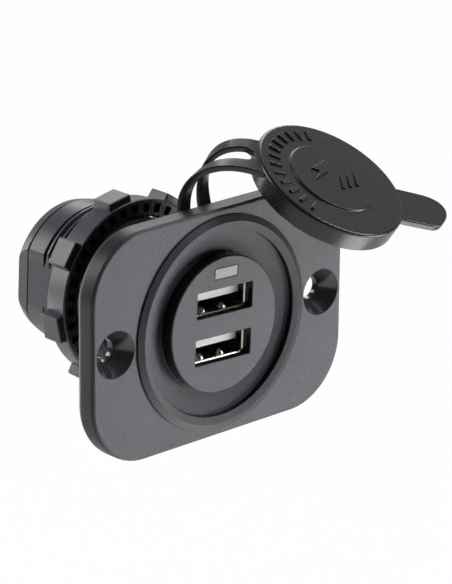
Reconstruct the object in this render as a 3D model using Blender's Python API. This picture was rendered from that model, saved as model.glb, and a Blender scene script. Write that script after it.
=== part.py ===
# Dual USB charging socket on a screw-down plate, with a ring nut and a tethered rubber cap.
# Metres, +Z up. The socket's axis runs along +Y and its face looks along -Y.
# The origin is on that axis, in the plane of the plate's back face.
# Angles round the axis are measured from +X towards +Z, as seen from the front.

import bpy
import bmesh
import math
from mathutils import Matrix, Vector

MM = 0.001

# Clearances
SEAT_GAP = 0.3 * MM
FLANGE_GAP = 0.25 * MM
LENS_GAP = 0.15 * MM

# Mounting plate
PLATE_HEIGHT = 41.9 * MM
PLATE_THICKNESS = 4.4 * MM
PLATE_CORNER = 12.0 * MM
PLATE_FRONT_ROUND = 0.55 * MM
PLATE_BACK_ROUND = 0.9 * MM
SCREW_SPACING = 48.8 * MM
SCREW_MARGIN = 5.1 * MM
SCREW_HOLE_RADIUS = 2.05 * MM
COUNTERSINK_RADIUS = 4.2 * MM
COUNTERSINK_DEPTH = 3.0 * MM
PLATE_LEDGE = 1.7 * MM

# Socket housing: flange, sunk tub, raised face and barrel in one moulding
SOCKET_TURN = math.radians(2.4)
FACE_RADIUS = 12.45 * MM
FACE_PROUD = 0.9 * MM
FACE_WALL = 1.4 * MM
FACE_EDGE_ROUND = 0.3 * MM
FLOOR_DEPTH_OUTER = 0.75 * MM
FLOOR_DEPTH_INNER = 1.15 * MM
RIM_INNER_RADIUS = 17.1 * MM
RIM_OUTER_RADIUS = 18.7 * MM
RIM_PROUD = 1.05 * MM
RIM_EDGE_ROUND = 0.25 * MM
FLANGE_RADIUS = 19.6 * MM
FLANGE_LIP = 0.2 * MM
TUB_WALL = 0.9 * MM
BARREL_END = 33.65 * MM
BARREL_END_CHAMFER = 0.15 * MM
BARREL_WALL = 2.6 * MM
BORE_CLEARANCE = 0.21 * MM
FLAT_DEPTH = 1.55 * MM
FLAT_START = 2.5 * MM
THREAD_TAIL = 4.05 * MM
THREAD_SPACING = 3.7 * MM
THREAD_GROOVE_WIDTH = 1.5 * MM
THREAD_DEPTH = 0.75 * MM

# Port openings in the face, one above the other
PORT_WIDTH = 13.0 * MM
PORT_HEIGHT = 4.7 * MM
PORT_PITCH = 8.6 * MM
WINDOW_WIDTH = 5.3 * MM
WINDOW_HEIGHT = 1.9 * MM
WINDOW_RISE = 9.3 * MM

# Type A receptacles behind the openings
SHELL_WIDTH = 13.1 * MM
SHELL_HEIGHT = 5.7 * MM
SHELL_WALL = 0.3 * MM
SHELL_CORNER = 0.9 * MM
SHELL_LENGTH = 13.15 * MM
SHELL_RAISE = 0.15 * MM
SPRING_WIDTH = 2.2 * MM
SPRING_LENGTH = 5.0 * MM
SPRING_SLIT = 0.4 * MM
SPRING_OFFSET = 3.1 * MM
SPRING_SETBACK = 2.4 * MM
TONGUE_SIDE_GAP = 0.7 * MM
TONGUE_THICKNESS = 1.84 * MM
TONGUE_RAISE = 0.48 * MM
TONGUE_SETBACK = 1.1 * MM
INSULATOR_LENGTH = 4.0 * MM
CONTACT_POSITIONS = (-3.5 * MM, -1.0 * MM, 1.0 * MM, 3.5 * MM)
CONTACT_WIDTH = 1.0 * MM
CONTACT_THICKNESS = 0.25 * MM
CONTACT_PROUD = 0.05 * MM
CONTACT_SETBACK = 1.2 * MM

# Circuit boards and what they carry
BOARD_THICKNESS = 1.6 * MM
PORT_BOARD_CLEARANCE = 0.3 * MM
PORT_BOARD_KEY = 1.5 * MM
POWER_BOARD_MARGIN = 1.5 * MM
POWER_BOARD_END_GAP = 1.0 * MM
BOARD_CORNER = 0.8 * MM
LED_SIZE = (3.2 * MM, 1.0 * MM, 1.5 * MM)
LED_EDGE_ROUND = 0.2 * MM
INDUCTOR_SIDE = 10.0 * MM
INDUCTOR_HEIGHT = 4.2 * MM
INDUCTOR_CORNER = 2.2 * MM
INDUCTOR_TOP_INSET = 0.5 * MM
INDUCTOR_TOP_RISE = 0.35 * MM
INDUCTOR_SETBACK = 6.2 * MM
CAPACITOR_RADIUS = 3.15 * MM
CAPACITOR_HEIGHT = 6.3 * MM
CAPACITOR_OFFSET = 3.9 * MM
CAPACITOR_CRIMP = 0.2 * MM
CAPACITOR_CRIMP_PLACE = 1.1 * MM
CAPACITOR_CRIMP_HALF = 0.35 * MM
INPUT_CAPACITOR_SETBACK = 11.9 * MM
OUTPUT_CAPACITOR_SETBACK = 4.4 * MM
CHIP_SIZE = (1.5 * MM, 5.0 * MM, 4.0 * MM)
CHIP_PLACE = (4.2 * MM, -4.6 * MM)
DIODE_SIZE = (2.1 * MM, 4.3 * MM, 2.6 * MM)
DIODE_END_SETBACK = 4.2 * MM
DIODE_RISE = 5.8 * MM

# Rear cover and blade terminals
COVER_GAP = 0.3 * MM
COVER_STEP = 0.18 * MM
COVER_TAPER = 0.58 * MM
COVER_THICKNESS = 2.35 * MM
COVER_EDGE_ROUND = 0.4 * MM
SPIGOT_LENGTH = 3.0 * MM
SPIGOT_WALL = 1.4 * MM
BLADE_WIDTH = 6.3 * MM
BLADE_THICKNESS = 0.8 * MM
BLADE_LENGTH = 7.5 * MM
BLADE_OFFSET = 4.0 * MM
BLADE_TIP_LENGTH = 1.2 * MM
BLADE_TIP_WIDTH = 4.4 * MM
BLADE_HOLE_RADIUS = 0.9 * MM
BLADE_HOLE_SETBACK = 3.4 * MM
BLADE_SHOULDER = 1.2 * MM
LEG_WIDTH = 2.0 * MM
LEG_LENGTH = 2.4 * MM
LEG_BEND_START = 1.2 * MM
LEG_BEND_END = 1.0 * MM
LEG_STEP = 0.2 * MM

# Ring nut
NUT_FRONT = 17.7 * MM
NUT_LENGTH = 5.2 * MM
NUT_WALL = 3.35 * MM
NUT_TAPER = 0.5 * MM
NUT_CHAMFER = 0.35 * MM
NUT_TURN = math.radians(11.3)
LUG_COUNT = 8
LUG_HEIGHT = 1.2 * MM
LUG_WIDTH = 5.0 * MM
LUG_ROOT_WIDTH = 5.6 * MM
LUG_LENGTH = 4.5 * MM
LUG_SETBACK = 0.4 * MM
LUG_EDGE = 0.25 * MM
POCKET_COUNT = 36
POCKET_WIDTH = 1.35 * MM
POCKET_SETBACK = 0.85 * MM
POCKET_REACH = 1.6 * MM
POCKET_DEPTH = 1.8 * MM

# Rubber cap, open and swung aside, with its slotted strap and its ring round the barrel
RING_WIDTH = 3.5 * MM
RING_THICKNESS = 1.5 * MM
CAP_WALL = 1.45 * MM
CAP_DRAFT = 0.2 * MM
CAP_HEIGHT = 3.9 * MM
CAP_TOP = 1.85 * MM
CAP_EDGE_ROUND = 0.45 * MM
CAP_FIT = 0.4 * MM
CAP_BOSS_RADIUS = 8.2 * MM
CAP_BOSS_RISE = 0.3 * MM
CAP_SHIFT = 19.15 * MM
CAP_FORWARD = 11.9 * MM
CAP_RISE = 24.03 * MM
CAP_FACING = Vector((0.139, -0.497, 0.857))
CAP_ACROSS = Vector((0.571, 0.747, 0.341))
TAB_NEAR_REACH = 7.25 * MM
TAB_FAR_REACH = 12.65 * MM
TAB_NEAR_ROOT = 4.45 * MM
TAB_NEAR_EDGE = 2.6 * MM
TAB_FAR_ROOT = 4.55 * MM
TAB_FAR_EDGE = 6.95 * MM
TAB_NEAR_CORNER = 3.6 * MM
TAB_FAR_CORNER = 4.0 * MM
TAB_DROP = 0.35 * MM
TAB_THICKNESS = 1.3 * MM
STRAP_THICKNESS = 1.15 * MM
STRAP_DROP = 0.45 * MM
STRAP_FOOT_WIDTH = 8.3 * MM
STRAP_WAIST = 1.0 * MM
STRAP_HEAD_WIDTH = 9.6 * MM
SLOT_FOOT_WIDTH = 2.6 * MM
SLOT_HEAD_WIDTH = 3.4 * MM
SLOT_FOOT_MARGIN = 1.4 * MM
SLOT_HEAD_MARGIN = 2.0 * MM
STRAP_FOOT_SHIFT = -0.8 * MM
STRAP_FOOT_INSET = 0.3 * MM
STRAP_FOOT_HANDLE = 10.3 * MM
STRAP_HEAD_HANDLE = 9.7 * MM
STRAP_FOOT_LEAN = math.radians(23.0)
STRAP_TWIST_POWER = 0.85
STRAP_EMBED = 1.3 * MM
STRAP_ROWS = 38
SLOT_END_SHARE = 0.45

ROUND_STEPS = 72
CUT_MARGIN = 1.0 * MM

# Places that follow from the sizes above
PLATE_WIDTH = SCREW_SPACING + 2 * SCREW_MARGIN
PLATE_FACE = -PLATE_THICKNESS
FACE_FRONT = PLATE_FACE - FACE_PROUD
FACE_BACK = FACE_FRONT + FACE_WALL
TUB_RADIUS = RIM_INNER_RADIUS + TUB_WALL
TUB_BACK = -PLATE_LEDGE - SEAT_GAP
SHELL_FRONT = FACE_BACK + SEAT_GAP
SHELL_BACK = SHELL_FRONT + SHELL_LENGTH
PORT_BOARD_FRONT = SHELL_BACK + SEAT_GAP
PORT_BOARD_BACK = PORT_BOARD_FRONT + BOARD_THICKNESS
POWER_BOARD_FRONT = PORT_BOARD_BACK + SEAT_GAP
COVER_FRONT = BARREL_END + COVER_GAP
COVER_BACK = COVER_FRONT + COVER_THICKNESS
WINDOW_REACH = math.hypot(WINDOW_WIDTH / 2, WINDOW_RISE + WINDOW_HEIGHT / 2)
SHELL_REACH = math.hypot(SHELL_WIDTH / 2, PORT_PITCH / 2 + SHELL_RAISE + SHELL_HEIGHT / 2)
BORE_RADIUS = max(WINDOW_REACH, SHELL_REACH) + BORE_CLEARANCE
BARREL_RADIUS = BORE_RADIUS + BARREL_WALL
FLAT_DISTANCE = BARREL_RADIUS - FLAT_DEPTH
POWER_BOARD_HEIGHT = 2 * (BORE_RADIUS - POWER_BOARD_MARGIN)
COVER_RADIUS = BARREL_RADIUS - COVER_STEP
COVER_BACK_RADIUS = COVER_RADIUS - COVER_TAPER
SPIGOT_FRONT = COVER_FRONT - SPIGOT_LENGTH
POWER_BOARD_END = SPIGOT_FRONT - POWER_BOARD_END_GAP
POWER_BOARD_LENGTH = POWER_BOARD_END - POWER_BOARD_FRONT
TONGUE_WIDTH = SHELL_WIDTH - 2 * SHELL_WALL - 2 * TONGUE_SIDE_GAP
RUNNING_RADIUS = BARREL_RADIUS + SEAT_GAP
NUT_FRONT_RADIUS = RUNNING_RADIUS + NUT_WALL
NUT_BACK_RADIUS = NUT_FRONT_RADIUS - NUT_TAPER
LUG_RADIUS = NUT_FRONT_RADIUS + LUG_HEIGHT
RING_RADIUS = RUNNING_RADIUS + RING_WIDTH
RING_BACK = SEAT_GAP + RING_THICKNESS
CAP_INNER_RADIUS = FACE_RADIUS + CAP_FIT
CAP_RADIUS = CAP_INNER_RADIUS + CAP_WALL
CAP_CENTRE = Vector((CAP_SHIFT, -CAP_FORWARD, CAP_RISE))
PORT_RISES = {"upper": PORT_PITCH / 2, "lower": -PORT_PITCH / 2}


def clear_scene():
    for obj in list(bpy.data.objects):
        bpy.data.objects.remove(obj, do_unlink=True)


def make_material(name, colour, roughness, metallic=0.0):
    material = bpy.data.materials.new(name)
    material.use_nodes = True
    shader = material.node_tree.nodes["Principled BSDF"]
    shader.inputs["Base Color"].default_value = (*colour, 1.0)
    shader.inputs["Roughness"].default_value = roughness
    shader.inputs["Metallic"].default_value = metallic
    return material


def add_object(name, bm, material=None, parent=None, matrix=None):
    bmesh.ops.recalc_face_normals(bm, faces=bm.faces)
    mesh = bpy.data.meshes.new(name)
    bm.to_mesh(mesh)
    bm.free()
    mesh.shade_smooth()
    mesh.set_sharp_from_angle(angle=math.radians(32))
    if material:
        mesh.materials.append(material)
    obj = bpy.data.objects.new(name, mesh)
    bpy.context.scene.collection.objects.link(obj)
    obj.parent = parent
    if matrix:
        obj.matrix_local = matrix
    return obj


def as_helper(obj):
    obj.hide_render = True
    obj.display_type = "WIRE"
    return obj


def combine(target, helper, operation):
    """Join a helper to the target or cut it away, with a live Boolean."""
    as_helper(helper)
    modifier = target.modifiers.new(operation.title(), "BOOLEAN")
    modifier.object = helper
    modifier.operation = operation
    modifier.solver = "EXACT"


def cut(target, bm):
    helper = add_object(target.name + "_cutter", bm, parent=target.parent, matrix=target.matrix_local.copy())
    combine(target, helper, "DIFFERENCE")


def revolve(bm, profile, closed=False, steps=ROUND_STEPS):
    """Turn a profile of (radius, place along the axis) points about the Y axis."""
    verts = [bm.verts.new((radius, along, 0)) for radius, along in profile]
    edges = [bm.edges.new(pair) for pair in zip(verts, verts[1:])]
    if closed:
        edges.append(bm.edges.new((verts[-1], verts[0])))
    bmesh.ops.spin(bm, geom=verts + edges, cent=(0, 0, 0), axis=(0, 1, 0), angle=math.tau,
                   steps=steps, use_merge=True)
    bmesh.ops.remove_doubles(bm, verts=bm.verts, dist=1e-7)


def extrude_outline(bm, points, start, end, place=lambda a, b, depth: (a, depth, b)):
    """Fill an outline and extrude it; by default the outline is (x, z) and the depth is y."""
    face = bm.faces.new([bm.verts.new(place(a, b, start)) for a, b in points])
    extruded = bmesh.ops.extrude_face_region(bm, geom=[face])
    verts = [item for item in extruded["geom"] if isinstance(item, bmesh.types.BMVert)]
    travel = Vector(place(0, 0, end)) - Vector(place(0, 0, start))
    bmesh.ops.translate(bm, verts=verts, vec=travel)
    return verts


def add_box(bm, size, centre, matrix=Matrix.Identity(4)):
    shape = matrix @ Matrix.Translation(centre) @ Matrix.Diagonal((*size, 1.0))
    return bmesh.ops.create_cube(bm, size=1.0, matrix=shape)["verts"]


def filleted_outline(corners, steps=4):
    """An outline whose corners, each (a, b, radius), are rounded by arcs."""
    points = []
    for index, (a, b, radius) in enumerate(corners):
        corner = Vector((a, b))
        if not radius:
            points.append(corner)
            continue
        inward = (Vector(corners[index - 1][:2]) - corner).normalized()
        onward = (Vector(corners[(index + 1) % len(corners)][:2]) - corner).normalized()
        half_angle = inward.angle(onward) / 2
        reach = radius / math.tan(half_angle)
        centre = corner + (inward + onward).normalized() * radius / math.sin(half_angle)
        first = (corner + inward * reach - centre).normalized()
        last = (corner + onward * reach - centre).normalized()
        for step in range(steps + 1):
            points.append(centre + first.slerp(last, step / steps) * radius)
    return points


def rectangle(width, height, centre=(0.0, 0.0), radius=0.0, steps=4):
    corners = [(centre[0] + sx * width / 2, centre[1] + sy * height / 2, radius)
               for sx, sy in ((-1, -1), (1, -1), (1, 1), (-1, 1))]
    return filleted_outline(corners, steps)


def round_edges(bm, edges, offset, segments=3):
    bmesh.ops.bevel(bm, geom=edges, offset=offset, segments=segments, profile=0.5,
                    affect="EDGES", clamp_overlap=True)


def about_axis(angle):
    """A turn about the socket's axis, which carries +X towards +Z."""
    return Matrix.Rotation(-angle, 4, "Y")


# Mounting plate: rounded slab, stepped hole for the socket, two countersunk screw holes
def make_plate(material):
    bm = bmesh.new()
    outline = rectangle(PLATE_WIDTH, PLATE_HEIGHT, radius=PLATE_CORNER, steps=12)
    extrude_outline(bm, outline, PLATE_FACE, 0.0)
    for level, offset in ((PLATE_FACE, PLATE_FRONT_ROUND), (0.0, PLATE_BACK_ROUND)):
        rim = [edge for edge in bm.edges
               if all(abs(vert.co.y - level) < 1e-6 for vert in edge.verts)]
        round_edges(bm, rim, offset)
    plate = add_object("mounting_plate", bm, material)

    hole = bmesh.new()
    seat = TUB_RADIUS + SEAT_GAP
    revolve(hole, [(0, PLATE_FACE - CUT_MARGIN), (seat, PLATE_FACE - CUT_MARGIN), (seat, -PLATE_LEDGE),
                   (RUNNING_RADIUS, -PLATE_LEDGE), (RUNNING_RADIUS, CUT_MARGIN), (0, CUT_MARGIN)])
    cut(plate, hole)

    screws = bmesh.new()
    slope = (COUNTERSINK_RADIUS - SCREW_HOLE_RADIUS) / COUNTERSINK_DEPTH
    mouth = COUNTERSINK_RADIUS + slope * CUT_MARGIN
    for side in (-1, 1):
        hole = bmesh.new()
        revolve(hole, [(0, PLATE_FACE - CUT_MARGIN), (mouth, PLATE_FACE - CUT_MARGIN),
                       (SCREW_HOLE_RADIUS, PLATE_FACE + COUNTERSINK_DEPTH),
                       (SCREW_HOLE_RADIUS, CUT_MARGIN), (0, CUT_MARGIN)], steps=40)
        bmesh.ops.translate(hole, verts=hole.verts, vec=(side * SCREW_SPACING / 2, 0, 0))
        mesh = bpy.data.meshes.new("screw_hole")
        hole.to_mesh(mesh)
        hole.free()
        screws.from_mesh(mesh)
    cut(plate, screws)


# Socket housing: turned shape, flats on the barrel, openings through the face
def thread_profile():
    """The barrel's thread as plain rings of V grooves, spaced wider than the real pitch."""
    back = BARREL_END - THREAD_TAIL
    count = int((back - FLAT_START) / THREAD_SPACING)
    points = []
    for index in reversed(range(count)):
        edge = back - index * THREAD_SPACING
        points.append((BARREL_RADIUS, edge - THREAD_GROOVE_WIDTH))
        points.append((BARREL_RADIUS - THREAD_DEPTH, edge - THREAD_GROOVE_WIDTH / 2))
        points.append((BARREL_RADIUS, edge))
    return points


def housing_profile():
    foot = PLATE_FACE - FLANGE_GAP
    rim = PLATE_FACE - RIM_PROUD
    return [
        (0, FACE_FRONT),
        (FACE_RADIUS - FACE_EDGE_ROUND, FACE_FRONT),
        (FACE_RADIUS, FACE_FRONT + FACE_EDGE_ROUND),
        (FACE_RADIUS, PLATE_FACE + FLOOR_DEPTH_INNER),
        (RIM_INNER_RADIUS - RIM_EDGE_ROUND, PLATE_FACE + FLOOR_DEPTH_OUTER),
        (RIM_INNER_RADIUS, PLATE_FACE + FLOOR_DEPTH_OUTER - RIM_EDGE_ROUND),
        (RIM_INNER_RADIUS, rim + RIM_EDGE_ROUND),
        (RIM_INNER_RADIUS + RIM_EDGE_ROUND, rim),
        (RIM_OUTER_RADIUS - RIM_EDGE_ROUND, rim),
        (RIM_OUTER_RADIUS, rim + RIM_EDGE_ROUND / 2),
        (FLANGE_RADIUS, foot - FLANGE_LIP),
        (FLANGE_RADIUS, foot),
        (TUB_RADIUS, foot),
        (TUB_RADIUS, TUB_BACK),
        (BARREL_RADIUS, TUB_BACK),
        *thread_profile(),
        (BARREL_RADIUS, BARREL_END - BARREL_END_CHAMFER),
        (BARREL_RADIUS - BARREL_END_CHAMFER, BARREL_END),
        (BORE_RADIUS, BARREL_END),
        (BORE_RADIUS, FACE_BACK),
        (0, FACE_BACK),
    ]


def flat_cutters(bm, start, end):
    depth = BARREL_RADIUS
    for side in (-1, 1):
        size = (depth, end - start, 4 * BARREL_RADIUS)
        add_box(bm, size, (side * (FLAT_DISTANCE + depth / 2), (start + end) / 2, 0))


def make_housing(material, parent):
    bm = bmesh.new()
    revolve(bm, housing_profile())
    housing = add_object("socket_housing", bm, material, parent)

    flats = bmesh.new()
    flat_cutters(flats, FLAT_START, BARREL_END + CUT_MARGIN)
    cut(housing, flats)

    openings = bmesh.new()
    front = FACE_FRONT - CUT_MARGIN
    back = FACE_BACK + CUT_MARGIN
    for rise in PORT_RISES.values():
        extrude_outline(openings, rectangle(PORT_WIDTH, PORT_HEIGHT, (0, rise)), front, back)
    extrude_outline(openings, rectangle(WINDOW_WIDTH, WINDOW_HEIGHT, (0, WINDOW_RISE)), front, back)
    cut(housing, openings)


# Indicator: a light pipe flush in the window, and the LED behind it on the board
def make_indicator(lens_material, led_material, parent):
    led_width, led_depth, led_height = LED_SIZE
    led_back = PORT_BOARD_FRONT - SEAT_GAP
    led_front = led_back - led_depth
    bm = bmesh.new()
    outline = rectangle(WINDOW_WIDTH - 2 * LENS_GAP, WINDOW_HEIGHT - 2 * LENS_GAP, (0, WINDOW_RISE))
    extrude_outline(bm, outline, FACE_FRONT, led_front - SEAT_GAP)
    add_object("indicator_lens", bm, lens_material, parent)

    bm = bmesh.new()
    add_box(bm, LED_SIZE, (0, (led_front + led_back) / 2, WINDOW_RISE))
    round_edges(bm, [edge for edge in bm.edges if all(v.co.y < led_back - 1e-6 for v in edge.verts)],
                LED_EDGE_ROUND, segments=2)
    add_object("indicator_led", bm, led_material, parent)


# Type A receptacle: folded steel shell with spring tabs, moulded tongue and four contacts
def spring_slit(centre_x):
    outer = SPRING_WIDTH / 2 + SPRING_SLIT
    inner = SPRING_WIDTH / 2
    root = SHELL_FRONT + SPRING_SETBACK
    tip = root + SPRING_LENGTH
    return [(centre_x - outer, root), (centre_x - inner, root), (centre_x - inner, tip - SPRING_SLIT),
            (centre_x + inner, tip - SPRING_SLIT), (centre_x + inner, root), (centre_x + outer, root),
            (centre_x + outer, tip), (centre_x - outer, tip)]


def make_shell(label, rise, material, parent):
    centre = (0, rise + SHELL_RAISE)
    bm = bmesh.new()
    extrude_outline(bm, rectangle(SHELL_WIDTH, SHELL_HEIGHT, centre, SHELL_CORNER),
                    SHELL_FRONT, SHELL_BACK)
    shell = add_object("usb_shell_" + label, bm, material, parent)

    inside = bmesh.new()
    outline = rectangle(SHELL_WIDTH - 2 * SHELL_WALL, SHELL_HEIGHT - 2 * SHELL_WALL, centre,
                        SHELL_CORNER - SHELL_WALL)
    extrude_outline(inside, outline, SHELL_FRONT - CUT_MARGIN, SHELL_BACK + CUT_MARGIN)
    cut(shell, inside)

    slits = bmesh.new()
    for side in (-1, 1):
        extrude_outline(slits, spring_slit(side * SPRING_OFFSET), centre[1] - SHELL_HEIGHT,
                        centre[1] + SHELL_HEIGHT, place=lambda a, b, depth: (a, b, depth))
    cut(shell, slits)


def make_tongue(label, rise, material, contact_material, parent):
    shell_centre = rise + SHELL_RAISE
    inside_width = SHELL_WIDTH - 2 * SHELL_WALL - 2 * SEAT_GAP
    inside_height = SHELL_HEIGHT - 2 * SHELL_WALL - 2 * SEAT_GAP
    underside = rise + TONGUE_RAISE
    front = SHELL_FRONT + TONGUE_SETBACK
    block_front = SHELL_BACK - INSULATOR_LENGTH

    bm = bmesh.new()
    outline = rectangle(inside_width, inside_height, (0, shell_centre))
    extrude_outline(bm, outline, block_front, SHELL_BACK)
    tongue = add_object("usb_tongue_" + label, bm, material, parent)
    blade = bmesh.new()
    outline = rectangle(TONGUE_WIDTH, TONGUE_THICKNESS, (0, underside + TONGUE_THICKNESS / 2))
    extrude_outline(blade, outline, front, SHELL_BACK - INSULATOR_LENGTH / 2)
    combine(tongue, add_object("tongue_blade", blade, parent=parent), "UNION")

    grooves = bmesh.new()
    top = CONTACT_THICKNESS - CONTACT_PROUD + SEAT_GAP
    bottom = -CONTACT_PROUD - SEAT_GAP
    for x in CONTACT_POSITIONS:
        outline = rectangle(CONTACT_WIDTH + 2 * SEAT_GAP, top - bottom, (x, underside + (top + bottom) / 2))
        extrude_outline(grooves, outline, front + CONTACT_SETBACK - SEAT_GAP, SHELL_BACK + CUT_MARGIN)
    cut(tongue, grooves)

    for number, x in enumerate(CONTACT_POSITIONS, start=1):
        bm = bmesh.new()
        middle = underside - CONTACT_PROUD + CONTACT_THICKNESS / 2
        extrude_outline(bm, rectangle(CONTACT_WIDTH, CONTACT_THICKNESS, (x, middle)),
                        front + CONTACT_SETBACK, SHELL_BACK)
        add_object(f"contact_{label}_{number}", bm, contact_material, parent)


# Boards: a round one behind the receptacles, and an upright one along the axis behind it
def make_boards(material, parent):
    radius = BORE_RADIUS - PORT_BOARD_CLEARANCE
    bm = bmesh.new()
    revolve(bm, [(0, PORT_BOARD_FRONT), (radius, PORT_BOARD_FRONT), (radius, PORT_BOARD_BACK),
                 (0, PORT_BOARD_BACK)], steps=48)
    board = add_object("port_board", bm, material, parent)
    key = bmesh.new()
    add_box(key, (PORT_BOARD_KEY, 2 * BOARD_THICKNESS, 2 * PORT_BOARD_KEY),
            (0, (PORT_BOARD_FRONT + PORT_BOARD_BACK) / 2, -radius))
    cut(board, key)

    bm = bmesh.new()
    middle = (POWER_BOARD_FRONT + POWER_BOARD_END) / 2
    add_box(bm, (BOARD_THICKNESS, POWER_BOARD_LENGTH, POWER_BOARD_HEIGHT), (0, middle, 0))
    corners = [edge for edge in bm.edges if abs(edge.verts[0].co.x - edge.verts[1].co.x) > 1e-6]
    round_edges(bm, corners, BOARD_CORNER)
    add_object("power_board", bm, material, parent)


def make_inductor(material, parent):
    base = BOARD_THICKNESS / 2 + SEAT_GAP
    along = POWER_BOARD_FRONT + INDUCTOR_SETBACK
    bm = bmesh.new()
    outline = rectangle(INDUCTOR_SIDE, INDUCTOR_SIDE, (along, 0), INDUCTOR_CORNER)
    extrude_outline(bm, outline, base, base + INDUCTOR_HEIGHT, place=lambda a, b, depth: (depth, a, b))
    top = [face for face in bm.faces if face.calc_center_median().x > base + INDUCTOR_HEIGHT - 1e-6]
    bmesh.ops.inset_region(bm, faces=top, thickness=INDUCTOR_TOP_INSET, depth=INDUCTOR_TOP_RISE)
    add_object("power_inductor", bm, material, parent)


def make_capacitor(name, setback, rise, material, parent):
    """A can capacitor that stands on the board's left side, its axis along X."""
    base = BOARD_THICKNESS / 2 + SEAT_GAP
    neck = base + CAPACITOR_CRIMP_PLACE
    tip = base + CAPACITOR_HEIGHT
    waist = CAPACITOR_RADIUS - CAPACITOR_CRIMP
    bm = bmesh.new()
    revolve(bm, [(0, base), (CAPACITOR_RADIUS, base), (CAPACITOR_RADIUS, neck - CAPACITOR_CRIMP_HALF),
                 (waist, neck), (CAPACITOR_RADIUS, neck + CAPACITOR_CRIMP_HALF),
                 (CAPACITOR_RADIUS, tip - CAPACITOR_CRIMP), (waist, tip), (0, tip)], steps=32)
    turn = Matrix.Rotation(math.pi / 2, 4, "Z")
    place = Matrix.Translation((0, POWER_BOARD_FRONT + setback, rise))
    add_object(name, bm, material, parent, place @ turn)


def make_flat_package(name, size, place, side, material, parent):
    base = BOARD_THICKNESS / 2 + SEAT_GAP
    bm = bmesh.new()
    centre = (side * (base + size[0] / 2), POWER_BOARD_FRONT + place[0], place[1])
    verts = add_box(bm, size, centre)
    outer = [vert for vert in verts if side * vert.co.x > base + size[0] / 2]
    squeeze = Matrix.Diagonal((1.0, 0.92, 0.9, 1.0))
    bmesh.ops.transform(bm, verts=outer, matrix=squeeze, space=Matrix.Translation(centre).inverted())
    add_object(name, bm, material, parent)


# Rear cover: a shallow lid with a spigot in the bore and two slots for the blades
def make_cover(material, parent):
    spigot = BORE_RADIUS - SEAT_GAP
    hollow = spigot - SPIGOT_WALL
    bm = bmesh.new()
    revolve(bm, [(0, COVER_BACK), (COVER_BACK_RADIUS - COVER_EDGE_ROUND, COVER_BACK),
                 (COVER_BACK_RADIUS, COVER_BACK - COVER_EDGE_ROUND), (COVER_RADIUS, COVER_FRONT),
                 (spigot, COVER_FRONT), (spigot, SPIGOT_FRONT), (hollow, SPIGOT_FRONT),
                 (hollow, COVER_FRONT), (0, COVER_FRONT)])
    cover = add_object("rear_cover", bm, material, parent)

    flats = bmesh.new()
    flat_cutters(flats, COVER_FRONT - CUT_MARGIN, COVER_BACK + CUT_MARGIN)
    cut(cover, flats)

    slots = bmesh.new()
    for side in (-1, 1):
        outline = rectangle(BLADE_THICKNESS + 2 * SEAT_GAP, BLADE_WIDTH + 2 * SEAT_GAP,
                            (side * BLADE_OFFSET, 0))
        extrude_outline(slots, outline, COVER_FRONT - CUT_MARGIN, COVER_BACK + CUT_MARGIN)
    cut(cover, slots)


def make_terminal(name, side, material, parent):
    """A blade through the rear cover, with a leg stepped in to lie on the power board."""
    board_face = BOARD_THICKNESS / 2 + SEAT_GAP + BLADE_THICKNESS / 2
    tip = COVER_BACK + BLADE_LENGTH
    shoulder = COVER_FRONT - BLADE_SHOULDER
    half_blade = BLADE_WIDTH / 2
    half_leg = LEG_WIDTH / 2
    half_tip = BLADE_TIP_WIDTH / 2
    stations = [
        (BLADE_OFFSET, tip, half_tip),
        (BLADE_OFFSET, tip - BLADE_TIP_LENGTH, half_blade),
        (BLADE_OFFSET, shoulder, half_blade),
        (BLADE_OFFSET, shoulder - LEG_STEP, half_leg),
        (BLADE_OFFSET, POWER_BOARD_END + LEG_BEND_START, half_leg),
        (board_face, POWER_BOARD_END - LEG_BEND_END, half_leg),
        (board_face, POWER_BOARD_END - LEG_LENGTH, half_leg),
    ]
    bm = bmesh.new()
    first = [bm.verts.new((stations[0][0] + dx * BLADE_THICKNESS / 2, stations[0][1], dz * stations[0][2]))
             for dx, dz in ((-1, -1), (1, -1), (1, 1), (-1, 1))]
    face = bm.faces.new(first)
    for before, (x, y, half) in zip(stations, stations[1:]):
        extruded = bmesh.ops.extrude_discrete_faces(bm, faces=[face])
        face = extruded["faces"][0]
        for vert in face.verts:
            vert.co.x += x - before[0]
            vert.co.y = y
            vert.co.z = math.copysign(half, vert.co.z)
    bm.faces.new([bm.verts.new(v.co) for v in first])
    bmesh.ops.remove_doubles(bm, verts=bm.verts, dist=1e-7)
    if side < 0:
        bmesh.ops.scale(bm, verts=bm.verts, vec=(-1, 1, 1))
    blade = add_object(name, bm, material, parent)

    hole = bmesh.new()
    revolve(hole, [(0, -BLADE_THICKNESS), (BLADE_HOLE_RADIUS, -BLADE_THICKNESS),
                   (BLADE_HOLE_RADIUS, BLADE_THICKNESS), (0, BLADE_THICKNESS)], steps=20)
    place = Matrix.Translation((side * BLADE_OFFSET, tip - BLADE_HOLE_SETBACK, 0))
    bmesh.ops.transform(hole, verts=hole.verts, matrix=place @ Matrix.Rotation(math.pi / 2, 4, "Z"))
    cut(blade, hole)


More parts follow.
